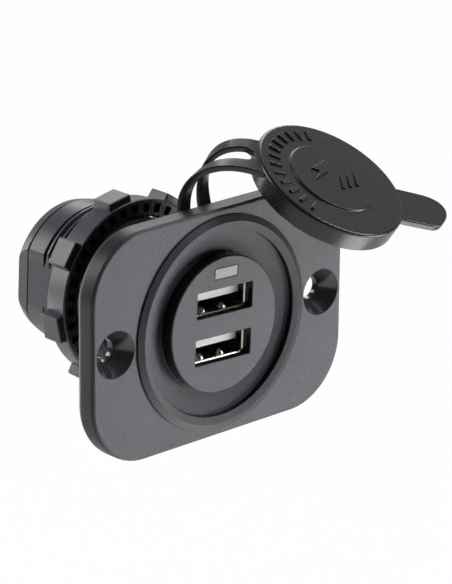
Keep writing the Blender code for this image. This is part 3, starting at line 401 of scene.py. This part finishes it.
def makeHousing():
    h = housing
    bm = bmesh.new()
    wallBack = h["face"] + h["faceWall"]
    spinProfile(bm, roundedProfile([
        (0, h["face"], 0), (h["faceRadius"], h["face"], 0.32), (h["faceRadius"], h["floorInner"], 0.12),
        (h["rimInner"], h["floorOuter"], 0.2), (h["rimInner"], h["rimStep"], 0.2),
        (h["rimOuter"], h["rimTop"], 0.25), (h["flange"], h["foot"] - 0.1, 0.05),
        (h["flange"], h["foot"], 0), (h["tub"], h["foot"], 0), (h["tub"], h["tubBack"], 0.3),
        (h["crest"], h["tubBack"], 0), (h["crest"], h["neckEnd"], 0), (h["bore"], h["neckEnd"], 0),
        (h["bore"], wallBack, 0), (0, wallBack, 0)]), steps=180)
    piece = meshObject("socketHousingBody", bm)
    # the ports and the window are cut with a box whose front end flares into the chamfer
    tool = bmesh.new()
    chamfer = port["chamfer"] * mm
    cuts = [(port["width"], port["height"], rise) for rise in portRises.values()]
    cuts.append((window["width"], window["height"], window["rise"]))
    for width, height, rise in cuts:
        size = (width * mm, port["cut"] * mm, height * mm)
        verts = boxVerts(tool, size, (0, (h["face"] + port["cut"] / 2) * mm, rise * mm))
        bevelEdges(tool, edgesAlong(verts, 1), port["corner"] * mm, 3)
        front = [f for f in tool.faces
                 if f.normal.y < -0.9 and abs(f.calc_center_median().z - rise * mm) < 1e-6]
        grown = bmesh.ops.extrude_face_region(tool, geom=front)
        moved = [v for v in grown["geom"] if isinstance(v, bmesh.types.BMVert)]
        bmesh.ops.delete(tool, geom=front, context="FACES_ONLY")
        for vert in moved:
            vert.co.y -= chamfer
            vert.co.x += math.copysign(chamfer, vert.co.x)
            vert.co.z += math.copysign(chamfer, vert.co.z - rise * mm)
    bmesh.ops.translate(tool, verts=tool.verts, vec=(0, chamfer, 0))
    booleanWith(piece, tool)

    barrel = bmesh.new()
    addThread(barrel)
    sliceFlats(barrel)
    tail = bmesh.new()
    edge = h["tailEdge"]
    spinProfile(tail, [
        (h["bore"], h["threadEnd"]), (h["tail"], h["threadEnd"]), (h["tail"], h["end"] - edge),
        (h["tail"] - edge, h["end"]), (h["bore"], h["end"])], closed=True)
    sliceFlats(tail)
    whole = bmesh.new()
    whole.from_mesh(piece.data)
    for part in (barrel, tail):
        bmesh.ops.recalc_face_normals(part, faces=part.faces)
        bmesh.ops.triangulate(part, faces=[f for f in part.faces if len(f.verts) > 8])
        joinInto(whole, part)
    # slots: 0 face and recess floor, 1 flange rim (darker as painted shade), 2 barrel, 3 the steep walls of
    # recess and ports (near black as painted shade)
    for face in whole.faces:
        centre = face.calc_center_median()
        radius = math.hypot(centre.x, centre.z) / mm
        y = centre.y / mm
        behind = y > h["tubBack"] - 0.1
        inRecess = radius < h["rimInner"] + 0.35
        if behind and radius > h["root"] + 0.2:
            face.material_index = 2
        elif not behind and inRecess and abs(face.normal.y) < 0.5:
            face.material_index = 3
        elif not inRecess and y < h["foot"]:
            face.material_index = 1
        else:
            face.material_index = 0
    bmesh.ops.transform(whole, matrix=socketTurn, verts=whole.verts)
    whole.to_mesh(piece.data)
    whole.free()
    finishes = [texturedAbs, coarseShadeAbs, satinAbs, polishedShadeAbs]
    finishPiece(piece, finishes, ["socket_housing"], 32)


makeHousing()
print("housing made")

# Rear cover: shallow lid with a tapered edge, flats like the barrel's, and two blade slots
cover = {"front": 33.95, "back": 36.3, "radius": 13.22, "backRadius": 12.64, "edge": 0.5, "spigot": 10.5,
         "spigotLength": 3.0, "spigotWall": 1.4, "bladeOffset": 4.0, "bladeWidth": 6.3, "bladeThick": 0.8,
         "bladeGap": 0.3, "slotCut": 8.0}


def makeCover():
    c = cover
    bm = bmesh.new()
    inner = c["spigot"] - c["spigotWall"]
    tip = c["front"] - c["spigotLength"]
    spinProfile(bm, roundedProfile([
        (0, c["back"], 0), (c["backRadius"], c["back"], c["edge"]), (c["radius"], c["front"], 0.12),
        (c["spigot"], c["front"], 0), (c["spigot"], tip, 0.2), (inner, tip, 0), (inner, c["front"], 0),
        (0, c["front"], 0)]))
    sliceFlats(bm)
    piece = meshObject("rearCoverLid", bm)
    for side in (-1, 1):
        tool = bmesh.new()
        size = (c["bladeThick"] + 2 * c["bladeGap"], c["slotCut"], c["bladeWidth"] + 2 * c["bladeGap"])
        verts = boxVerts(tool, [s * mm for s in size], (side * c["bladeOffset"] * mm, c["back"] * mm, 0))
        bevelEdges(tool, edgesAlong(verts, 1), 0.3 * mm, 3)
        booleanWith(piece, tool)
    piece.data.transform(socketTurn)
    finishPiece(piece, [satinAbs], ["rear_cover"])


makeCover()
print("rear cover made")

# Ring nut: slightly conical ring, eight lugs, a ring of pockets in the front face
nut = {"front": 17.7, "length": 5.2, "frontRadius": 17.05, "backRadius": 16.55, "bore": 13.7, "round": 0.35,
       "turn": 11.3, "lugs": 8, "lugRadius": 18.25, "lugWidth": 5.0, "lugRoot": 5.6, "lugLength": 4.5,
       "lugSetback": 0.4, "lugEdge": 0.28, "pockets": 36, "pocketWidth": 1.35, "pocketIn": 14.6,
       "pocketOut": 16.2, "pocketDepth": 1.8}


def aboutAxis(degrees):
    return Matrix.Rotation(-math.radians(degrees), 4, "Y")


def makeNut():
    n = nut
    back = n["front"] + n["length"]
    bm = bmesh.new()
    spinProfile(bm, roundedProfile([
        (n["bore"], n["front"], n["round"]), (n["frontRadius"], n["front"], n["round"]),
        (n["backRadius"], back, n["round"]), (n["bore"], back, n["round"])]), closed=True)
    piece = meshObject("ringNutBody", bm)

    root = (n["bore"] + n["backRadius"]) / 2
    middle = ((root + n["lugRadius"]) / 2, n["front"] + n["lugSetback"] + n["lugLength"] / 2, 0)
    lugs = bmesh.new()
    for index in range(n["lugs"]):
        lug = bmesh.new()
        size = (n["lugRadius"] - root, n["lugLength"], n["lugRoot"])
        verts = boxVerts(lug, [s * mm for s in size], [c * mm for c in middle])
        tip = [v for v in verts if v.co.x > middle[0] * mm]
        bmesh.ops.scale(lug, verts=tip, vec=(1, 1, n["lugWidth"] / n["lugRoot"]))
        bevelEdges(lug, [e for e in lug.edges if any(v in tip for v in e.verts)], n["lugEdge"] * mm, 4)
        joinInto(lugs, lug, aboutAxis(n["turn"] + index * 360 / n["lugs"]))
    booleanWith(piece, lugs, "UNION")

    pockets = bmesh.new()
    reach = n["pocketOut"] - n["pocketIn"]
    for index in range(n["pockets"]):
        turn = aboutAxis(n["turn"] + index * 360 / n["pockets"])
        size = (reach * mm, 2 * n["pocketDepth"] * mm, n["pocketWidth"] * mm)
        boxVerts(pockets, size, ((n["pocketIn"] + reach / 2) * mm, n["front"] * mm, 0), turn)
    booleanWith(piece, pockets)
    # slots: 0 the nut, 1 its front face and the pockets' insides, coloured near black as painted shade
    for polygon in piece.data.polygons:
        radius = math.hypot(polygon.center.x, polygon.center.z) / mm
        inPocket = n["pocketIn"] - 0.05 < radius < n["pocketOut"] + 0.1
        ahead = polygon.center.y < (n["front"] + n["pocketDepth"] + 0.1) * mm
        polygon.material_index = 1 if ahead and (inPocket or polygon.normal.y < -0.95) else 0
    finishPiece(piece, [satinAbs, polishedShadeAbs], ["ring_nut"])


makeNut()
print("nut made")

# Rubber cap: cup, tab, strap and ring, moulded in one
cap = {"centre": (19.15, -11.9, 24.03), "facing": (0.139, -0.497, 0.857), "across": (0.571, 0.747, 0.341),
       "radius": 14.3, "mouth": 14.1, "height": 3.9, "top": 1.85, "inner": 12.85, "edge": 0.6,
       "bossRadius": 8.15, "bossRise": 0.35, "tabDrop": 0.35, "tabThick": 1.3, "tabEdge": 0.28, "embed": 1.3}
# the tab's corners as (along, across, radius of its rounding)
tabOutline = [(13.0, -4.45, 0), (21.55, -2.6, 3.6), (26.95, 6.95, 4.0), (13.0, 4.55, 0)]
strap = {"thick": 1.15, "drop": 0.45, "footWidth": 8.3, "waist": 1.0, "headWidth": 9.6, "slotFoot": 2.6,
         "slotHead": 3.4, "footMargin": 1.4, "headMargin": 2.0, "footShift": -0.8, "footInset": 0.3,
         "footHandle": 10.3, "headHandle": 9.7, "lean": 23.0, "twist": 0.85, "rows": 84, "slotEnd": 0.45,
         "edge": 0.22}
ring = {"bore": 13.7, "radius": 17.2, "front": 0.3, "back": 1.8}
# ribs from one angle to another round the cap; a bolt and three bars in its middle, as (along, across)
ribs = {"count": 13, "from": 107.0, "to": 245.0, "inner": 10.1, "outer": 12.4, "width": 0.7, "rise": 0.32,
        "edge": 0.1}
bolt = [(-1.2, 4.3), (-4.2, 0.4), (-2.6, 0.4), (-3.8, -2.6), (-0.5, 1.5), (-2.1, 1.5)]
bars = {"length": 3.4, "places": [(1.9, -0.6), (3.4, 0.6), (4.9, 1.8)]}


def capPlace():
    facing = Vector(cap["facing"]).normalized()
    across = Vector(cap["across"])
    across = (across - facing * across.dot(facing)).normalized()
    along = across.cross(facing)
    turn = Matrix((along, across, facing)).transposed().to_4x4()
    return Matrix.Translation(Vector(cap["centre"]) * mm) @ turn


def strapCurve():
    # rows of (place on the outer face, way across, half width, half slot, slot open)
    s = strap
    place = capPlace()
    along, across, facing = (place.to_3x3().col[i] for i in range(3))
    foot = Vector((s["footShift"], ring["back"] - (ring["back"] - ring["front"] - s["thick"]) / 2,
                   ring["radius"] - s["footInset"])) * mm
    lean = math.radians(s["lean"])
    rise = Vector((0, math.sin(lean), math.cos(lean)))
    head = place.translation - (along * (cap["radius"] - cap["embed"]) + facing * s["drop"]) * mm
    a, b, c, d = foot, foot + rise * s["footHandle"] * mm, head - along * s["headHandle"] * mm, head
    rows = []
    travelled = 0.0
    last = None
    for step in range(s["rows"] + 1):
        t = step / s["rows"]
        u = 1 - t
        spot = a * u**3 + b * 3 * u * u * t + c * 3 * u * t * t + d * t**3
        heading = ((b - a) * u * u + (c - b) * 2 * u * t + (d - c) * t * t).normalized()
        travelled += (spot - last).length / mm if last else 0.0
        last = spot
        wide = Vector((1, 0, 0)).lerp(across, t ** s["twist"])
        wide = (wide - heading * wide.dot(heading)).normalized()
        width = s["footWidth"] + (s["headWidth"] - s["footWidth"]) * t
        half = (width - s["waist"] * 4 * t * u) / 2
        slot = (s["slotFoot"] + (s["slotHead"] - s["slotFoot"]) * t) / 2
        rows.append([spot, wide, half, slot, travelled])
    total = rows[-1][4]
    for row in rows:
        inside = min(row[4] - s["footMargin"], total - s["headMargin"] - row[4])
        share = min(max(inside / row[3], 0.0), 1.0)
        row[3] *= max(s["slotEnd"], math.sqrt(share * (2 - share)))
        row[4] = inside > 0
    start = rows[0]
    rows.insert(0, [start[0] - Vector((0, 0, cap["embed"] * mm)), start[1], start[2], start[3], False])
    return rows


def addStrap(bm):
    # a flat grid three faces wide is laid on the curve, row by row, then given its thickness
    rows = strapCurve()
    made = bmesh.ops.create_grid(bm, x_segments=3, y_segments=len(rows) - 1, size=0.5)
    byRow = {}
    for vert in made["verts"]:
        byRow.setdefault(round((vert.co.y + 0.5) * (len(rows) - 1)), []).append(vert)
    faces = dict.fromkeys(f for v in made["verts"] for f in v.link_faces)
    middle = [f for f in faces if abs(f.calc_center_median().x) < 0.1]
    gone = []
    for face in middle:
        indexes = {round((v.co.y + 0.5) * (len(rows) - 1)) for v in face.verts}
        if any(rows[i][4] for i in indexes):
            gone.append(face)
    for index, verts in byRow.items():
        spot, wide, half, slot = rows[index][:4]
        for vert, offset in zip(sorted(verts, key=lambda v: v.co.x), (-half, -slot, slot, half)):
            vert.co = spot + wide * offset * mm
    bmesh.ops.delete(bm, geom=gone, context="FACES")


def strapBody():
    bm = bmesh.new()
    addStrap(bm)
    piece = meshObject("strapSheet", bm, recalculate=False)
    wall = piece.modifiers.new("Wall", "SOLIDIFY")
    wall.thickness = strap["thick"] * mm
    wall.offset = 1.0
    wall.use_even_offset = True
    edge = piece.modifiers.new("Edge", "BEVEL")
    edge.width = strap["edge"] * mm
    edge.segments = 3
    edge.limit_method = "ANGLE"
    edge.angle_limit = math.radians(50)
    bpy.context.view_layer.update()
    evaluated = piece.evaluated_get(bpy.context.evaluated_depsgraph_get())
    solid = bmesh.new()
    solid.from_mesh(evaluated.to_mesh())
    bpy.data.objects.remove(piece, do_unlink=True)
    return solid


def cornerHalfAngle(index):
    here = Vector(tabOutline[index][:2])
    before = Vector(tabOutline[index - 1][:2]) - here
    after = Vector(tabOutline[(index + 1) % len(tabOutline)][:2]) - here
    return before.angle(after) / 2


def tabBody():
    bm = bmesh.new()
    top, bottom = -cap["tabDrop"], -cap["tabDrop"] - cap["tabThick"]
    made = bmesh.ops.create_circle(bm, segments=4, radius=mm, cap_ends=True)
    for vert, corner in zip(made["verts"], tabOutline):
        vert.co = Vector((*corner[:2], bottom)) * mm
    grown = bmesh.ops.extrude_face_region(bm, geom=bm.faces[:])
    upper = [v for v in grown["geom"] if isinstance(v, bmesh.types.BMVert)]
    bmesh.ops.translate(bm, verts=upper, vec=(0, 0, (top - bottom) * mm))
    for index, (along, across, radius) in enumerate(tabOutline):
        if radius:
            corner = [e for e in edgesAlong(bm.verts, 2)
                      if all((v.co.xy - Vector((along, across)) * mm).length < 0.01 * mm for v in e.verts)]
            reach = radius / math.tan(cornerHalfAngle(index)) * mm
            bmesh.ops.bevel(bm, geom=corner, offset=reach, segments=16, profile=0.5, affect="EDGES",
                            material=-1)
    rims = [e for e in bm.edges
            if e.calc_face_angle(0) > 1.2 and any(abs(f.normal.z) > 0.9 for f in e.link_faces)]
    bevelEdges(bm, rims, cap["tabEdge"] * mm, 4)
    return bm


def raisedSigns():
    # every sign is a low prism whose foot is sunk in the cap
    whole = bmesh.new()
    step = (ribs["to"] - ribs["from"]) / (ribs["count"] - 1)
    width, tall, edge = ribs["width"] * mm, 2 * ribs["rise"] * mm, ribs["edge"] * mm
    for index in range(ribs["count"]):
        rib = bmesh.new()
        middle = (ribs["inner"] + ribs["outer"]) / 2 * mm
        boxVerts(rib, ((ribs["outer"] - ribs["inner"]) * mm, width, tall), (middle, 0, 0))
        bevelEdges(rib, rib.edges[:], edge, 3)
        joinInto(whole, rib, Matrix.Rotation(math.radians(ribs["from"] + index * step), 4, "Z"))
    for along, across in bars["places"]:
        bar = bmesh.new()
        boxVerts(bar, (width, bars["length"] * mm, tall), (along * mm, across * mm, cap["bossRise"] * mm))
        bevelEdges(bar, bar.edges[:], edge, 3)
        joinInto(whole, bar)
    sign = bmesh.new()
    foot = (cap["bossRise"] - ribs["rise"]) * mm
    sign.faces.new([sign.verts.new((along * mm, across * mm, foot)) for along, across in bolt])
    grown = bmesh.ops.extrude_face_region(sign, geom=sign.faces[:])
    top = [v for v in grown["geom"] if isinstance(v, bmesh.types.BMVert)]
    bmesh.ops.translate(sign, verts=top, vec=(0, 0, tall))
    bevelEdges(sign, sign.edges[:], edge, 3)
    joinInto(whole, sign)
    return whole


def makeCap():
    c = cap
    whole = bmesh.new()
    part = bmesh.new()
    spinProfile(part, roundedProfile([
        (ring["bore"], ring["front"], 0.15), (ring["radius"], ring["front"], 0.25),
        (ring["radius"], ring["back"], 0.25), (ring["bore"], ring["back"], 0.15)]), closed=True)
    joinInto(whole, part)
    joinInto(whole, strapBody())
    part = bmesh.new()
    spinProfile(part, roundedProfile([
        (0, c["bossRise"], 0), (c["bossRadius"], c["bossRise"], 0.2), (c["bossRadius"] + 0.2, 0, 0.12),
        (c["radius"], 0, c["edge"]), (c["mouth"], -c["height"], 0.3), (c["inner"], -c["height"], 0.2),
        (c["inner"], -c["top"], 0.3), (0, -c["top"], 0)]), steps=180)
    joinInto(whole, part, capPlace() @ quarterTurn)
    joinInto(whole, tabBody(), capPlace())
    joinInto(whole, raisedSigns(), capPlace())
    piece = meshObject("rubberCapMoulding", whole, recalculate=False)
    finishPiece(piece, [capRubber], ["rubber_cap"], 40)


makeCap()
print("cap made")

# Receptacles: plated shells with two springs below and two above
shell = {"width": 13.1, "height": 5.7, "wall": 0.3, "corner": 0.9, "front": -3.6, "length": 13.15,
         "raise": 0.15, "springWidth": 2.2, "springLength": 5.0, "springWall": 0.25, "springOverlap": 0.3,
         "springOffset": 2.4, "slit": 0.4, "slitCut": 1.5, "setback": 1.35, "bow": 0.5, "bowEnd": 1.15,
         "dimple": 0.68, "dimpleAlong": 0.15, "dimpleRadius": 0.7, "dimpleEdge": 0.1}
lip = {"front": -3.82, "depth": 0.15, "sideSlope": 0.3, "lowSlope": 0.22, "opening": 12.3, "cornerIn": 0.5,
       "overWidth": 0.2, "underHeight": 0.2}


def makeLip(rise):
    # the rolled mouth of a receptacle: a frame whose inner faces slope inwards
    bm = bmesh.new()
    middle = (lip["front"] + lip["depth"] / 2) * mm
    size = ((shell["width"] + lip["overWidth"]) * mm, lip["depth"] * mm,
            (shell["height"] - lip["underHeight"]) * mm)
    verts = boxVerts(bm, size, (0, middle, rise * mm))
    bevelEdges(bm, edgesAlong(verts, 1), shell["corner"] * mm, 6)
    piece = meshObject("receptacleLip", bm)
    tool = bmesh.new()
    opening = (lip["opening"] * mm, lip["depth"] * mm, port["height"] * mm)
    for vert in boxVerts(tool, opening, (0, middle, rise * mm)):
        if vert.co.y > middle:
            vert.co.x -= math.copysign(lip["sideSlope"] * mm, vert.co.x)
            vert.co.z -= math.copysign(lip["lowSlope"] * mm, vert.co.z - rise * mm)
    through = [e for e in tool.edges if abs((e.verts[0].co - e.verts[1].co).y) > 1e-5]
    bevelEdges(tool, through, lip["cornerIn"] * mm, 5)
    for vert in tool.verts:
        vert.co.y += math.copysign(0.01 * mm, vert.co.y - middle)
    booleanWith(piece, tool)
    rolled = bmesh.new()
    rolled.from_mesh(piece.data)
    bpy.data.objects.remove(piece, do_unlink=True)
    return rolled


def makeSpring(side, half, centreZ):
    # a strip that bows inwards to a dimple and ends free; side is left or right, half is below or above
    s = shell
    strip = bmesh.new()
    made = bmesh.ops.create_grid(strip, x_segments=24, y_segments=56, size=0.5)
    root = s["front"] + s["setback"] - s["springOverlap"]
    wallHeight = s["height"] / 2 - s["wall"] / 2
    for vert in made["verts"]:
        along = vert.co.y + 0.5
        sideways = vert.co.x * s["springWidth"]
        bow = math.sin(math.pi * min(along / s["bowEnd"], 1.0)) * s["bow"]
        away = math.hypot((along - s["dimpleAlong"]) * s["springLength"], sideways)
        dimple = s["dimple"] / (1 + math.exp((away - s["dimpleRadius"]) / s["dimpleEdge"]))
        vert.co = Vector(((side * s["springOffset"] + sideways) * mm,
                          (root + along * s["springLength"]) * mm,
                          centreZ + half * (wallHeight - bow - dimple) * mm))
    bmesh.ops.solidify(strip, geom=strip.faces[:], thickness=s["springWall"] * mm)
    return strip


def makeShell(label, rise):
    s = shell
    bm = bmesh.new()
    centreZ = (rise + s["raise"]) * mm
    middleY = (s["front"] + s["length"] / 2) * mm
    verts = boxVerts(bm, (s["width"] * mm, s["length"] * mm, s["height"] * mm), (0, middleY, centreZ))
    bevelEdges(bm, edgesAlong(verts, 1), s["corner"] * mm, 6)
    bmesh.ops.delete(bm, geom=[f for f in bm.faces if abs(f.normal.y) > 0.9], context="FACES")
    bmesh.ops.solidify(bm, geom=bm.faces[:], thickness=s["wall"] * mm)
    piece = meshObject("receptacleShell" + label.title(), bm)
    places = [(side, half) for side in (-1, 1) for half in (-1, 1)]
    slit = [v * mm for v in (s["springWidth"] + 2 * s["slit"], s["springLength"] + s["slit"], s["slitCut"])]
    slitY = (s["front"] + s["setback"] + s["springLength"] / 2) * mm
    for side, half in places:
        tool = bmesh.new()
        boxVerts(tool, slit, (side * s["springOffset"] * mm, slitY, centreZ + half * s["height"] / 2 * mm))
        booleanWith(piece, tool)
    whole = bmesh.new()
    whole.from_mesh(piece.data)
    for side, half in places:
        joinInto(whole, makeSpring(side, half, centreZ))
    joinInto(whole, makeLip(rise))
    bmesh.ops.transform(whole, matrix=socketTurn, verts=whole.verts)
    whole.to_mesh(piece.data)
    whole.free()
    finishPiece(piece, [nickelSteel], ["usb_shell_" + label], 25)


for label, rise in portRises.items():
    makeShell(label, rise)
print("receptacles made")

# Tongues: the white nose that hangs a little lower than the blade and shields the contacts' tips
nose = {"sideGap": 0.7, "bladeRise": 0.48, "bladeThick": 1.84, "margin": 0.05, "drop": 0.58, "proud": 0.1,
        "length": 1.15, "edge": 0.12}


def makeNose(label, rise):
    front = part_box("usb_tongue_" + label)[0][1] - nose["proud"] * mm
    width = 2 * (shell["width"] / 2 - shell["wall"] - nose["sideGap"] + nose["margin"]) * mm
    bladeFoot = rise + nose["bladeRise"]
    under = (bladeFoot - nose["drop"]) * mm
    over = (bladeFoot + nose["bladeThick"] + nose["margin"]) * mm
    bm = bmesh.new()
    boxVerts(bm, (width, nose["length"] * mm, over - under),
             (0, front + nose["length"] / 2 * mm, (under + over) / 2))
    bevelEdges(bm, bm.edges[:], nose["edge"] * mm, 3)
    bmesh.ops.transform(bm, matrix=socketTurn, verts=bm.verts)
    finishPiece(meshObject("tongueNose" + label.title(), bm), [whiteNylon], [])


for label, rise in portRises.items():
    makeNose(label, rise)
print("tongue noses made")


# Indicator lens, flush in its window
def makeLens():
    bm = bmesh.new()
    low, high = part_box("indicator_lens")
    width, height = (window[key] - 2 * window["gap"] for key in ("width", "height"))
    verts = boxVerts(bm, (width * mm, high[1] - low[1], height * mm),
                     (0, (low[1] + high[1]) / 2, window["rise"] * mm))
    bevelEdges(bm, edgesAlong(verts, 1), window["corner"] * mm, 3)
    front = [e for e in bm.edges if all(v.co.y < low[1] + 1e-6 for v in e.verts)]
    bevelEdges(bm, front, window["edge"] * mm, 2)
    bmesh.ops.transform(bm, matrix=socketTurn, verts=bm.verts)
    finishPiece(meshObject("indicatorLensPipe", bm), [lensPlastic], ["indicator_lens"])


makeLens()
print("lens made")

# CAD pieces that keep their shape and get their real finish
finishes = {"usb_tongue_upper": whiteNylon, "usb_tongue_lower": whiteNylon, "indicator_led": ledEpoxy,
            "port_board": boardGreen, "power_board": boardGreen, "power_inductor": ferrite,
            "input_capacitor": canAluminium, "output_capacitor": canAluminium, "regulator_chip": chipEpoxy,
            "rectifier_diode": chipEpoxy, "positive_terminal": tinnedBrass, "negative_terminal": tinnedBrass}
for row in ("upper", "lower"):
    for number in range(1, 5):
        finishes[f"contact_{row}_{number}"] = goldPlate
for name, material in finishes.items():
    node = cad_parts[name]
    node.data.materials.clear()
    node.data.materials.append(material)
print("CAD pieces finished")

# Camera: solved from the photograph; angles in degrees, lengths in millimetres
view = {"azimuth": -43.269, "elevation": 19.337, "roll": 0.545, "distance": 598.636, "right": 0.907,
        "up": 5.346, "faceY": -4.4, "lens": 211.78}


def makeCamera():
    azimuth, elevation, roll = (math.radians(view[key]) for key in ("azimuth", "elevation", "roll"))
    back = Vector((math.sin(azimuth) * math.cos(elevation), -math.cos(azimuth) * math.cos(elevation),
                   math.sin(elevation)))
    level = Vector((0, 0, 1)).cross(back).normalized()
    top = back.cross(level)
    right = level * math.cos(roll) + top * math.sin(roll)
    up = top * math.cos(roll) - level * math.sin(roll)
    place = back * view["distance"] + right * view["right"] + up * view["up"] + Vector((0, view["faceY"], 0))
    data = bpy.data.cameras.new("photoCamera")
    data.lens = view["lens"]
    data.sensor_width = 36
    data.clip_start = 0.01
    data.clip_end = 10
    camera = bpy.data.objects.new("photoCamera", data)
    camera.matrix_world = Matrix.Translation(place * mm) @ Matrix((right, up, back)).transposed().to_4x4()
    bpy.context.scene.collection.objects.link(camera)
    bpy.context.scene.camera = camera


makeCamera()

# Light: white paper under and behind the object, soft boxes round it, hardly any light from elsewhere
studio = {"floorZ": -0.35, "paper": 3.0, "backdropAway": 1.1, "worldLevel": 0.06, "floorLevel": 0.85,
          "backdropLevel": 0.45, "paperGlow": 0.97}
# each soft box: (place in metres, size in metres, level on a white surface that faces it)
softBoxes = {
    "lowFront": ((0.481, -0.481, -0.317), 0.4, 0.85),
    "underFront": ((0.100, -0.140, -0.310), 0.2, 0.5),
    "keyFront": ((0.647, -0.640, 0.432), 0.3, 0.32),
    "smallHigh": ((0.520, -0.440, 0.750), 0.22, 0.25),
    "backLeft": ((-0.579, 0.579, 0.574), 0.45, 0.45),
    "backRight": ((0.579, 0.579, 0.574), 0.45, 0.3),
    "backMiddle": ((-0.377, 0.910, 0.174), 0.45, 0.38),
    "backLow": ((-0.176, 0.657, -0.317), 0.4, 0.35)}


def paperMaterial(name, mirrorLevel):
    # white to the camera apart from the shadow, an even sheet in reflections, plain paper to other light
    material, tree, shader = newMaterial(name)
    shader.inputs["Base Color"].default_value = linearColour("#eeeeee")
    shader.inputs["Roughness"].default_value = 0.9
    path = addNode(tree, "ShaderNodeLightPath")
    toCamera, toMirror = path.outputs["Is Camera Ray"], path.outputs["Is Glossy Ray"]
    seen = addNode(tree, "ShaderNodeMath", {"operation": "MULTIPLY"}, {0: toCamera, 1: studio["paperGlow"]})
    share = addNode(tree, "ShaderNodeMath", {"operation": "MAXIMUM"}, {0: seen.outputs[0], 1: toMirror})
    level = addNode(tree, "ShaderNodeMapRange", inputs={
        "Value": toCamera, "To Min": mirrorLevel, "To Max": 1.0})
    glow = addNode(tree, "ShaderNodeEmission", inputs={
        "Color": (1, 1, 1, 1), "Strength": level.outputs["Result"]})
    mix = addNode(tree, "ShaderNodeMixShader", inputs={
        0: share.outputs[0], 1: shader.outputs[0], 2: glow.outputs[0]})
    tree.links.new(mix.outputs[0], tree.nodes["Material Output"].inputs["Surface"])
    return material


def makePaper():
    half = studio["paper"] / 2
    flat = Matrix.Translation((0, 0, studio["floorZ"]))
    upright = Matrix.Rotation(math.radians(view["azimuth"]), 4, "Z") @ Matrix.Translation(
        (0, studio["backdropAway"], studio["floorZ"] + half)) @ quarterTurn
    for name, place, level in (("studioFloor", flat, studio["floorLevel"]),
                               ("studioBackdrop", upright, studio["backdropLevel"])):
        bm = bmesh.new()
        bmesh.ops.create_grid(bm, x_segments=2, y_segments=2, size=half, matrix=place)
        paper = meshObject(name, bm, recalculate=False)
        paper.data.materials.append(paperMaterial("white paper of the " + name, level))


def makeStudio():
    makePaper()
    world = bpy.data.worlds.new("studioWorld")
    bpy.context.scene.world = world
    world.use_nodes = True
    tree = world.node_tree
    ground = tree.nodes["Background"]
    ground.inputs["Color"].default_value = (1, 1, 1, 1)
    path = addNode(tree, "ShaderNodeLightPath")
    seen = addNode(tree, "ShaderNodeMath", {"operation": "MAXIMUM"}, {
        0: path.outputs["Is Camera Ray"], 1: path.outputs["Is Transmission Ray"]})
    level = addNode(tree, "ShaderNodeMapRange", inputs={
        "Value": seen.outputs[0], "To Min": studio["worldLevel"], "To Max": 1.0})
    tree.links.new(level.outputs["Result"], ground.inputs["Strength"])
    for name, (place, size, brightness) in softBoxes.items():
        data = bpy.data.lights.new(name, "AREA")
        data.shape = "SQUARE"
        data.size = size
        distance = Vector(place).length
        data.energy = math.pi ** 2 * brightness * distance ** 2
        lamp = bpy.data.objects.new(name, data)
        lamp.location = place
        lamp.rotation_euler = Vector(place).to_track_quat("Z", "Y").to_euler()
        lamp.visible_camera = False
        bpy.context.scene.collection.objects.link(lamp)


makeStudio()
bpy.context.scene.view_settings.view_transform = "Standard"
print("camera and light ready")
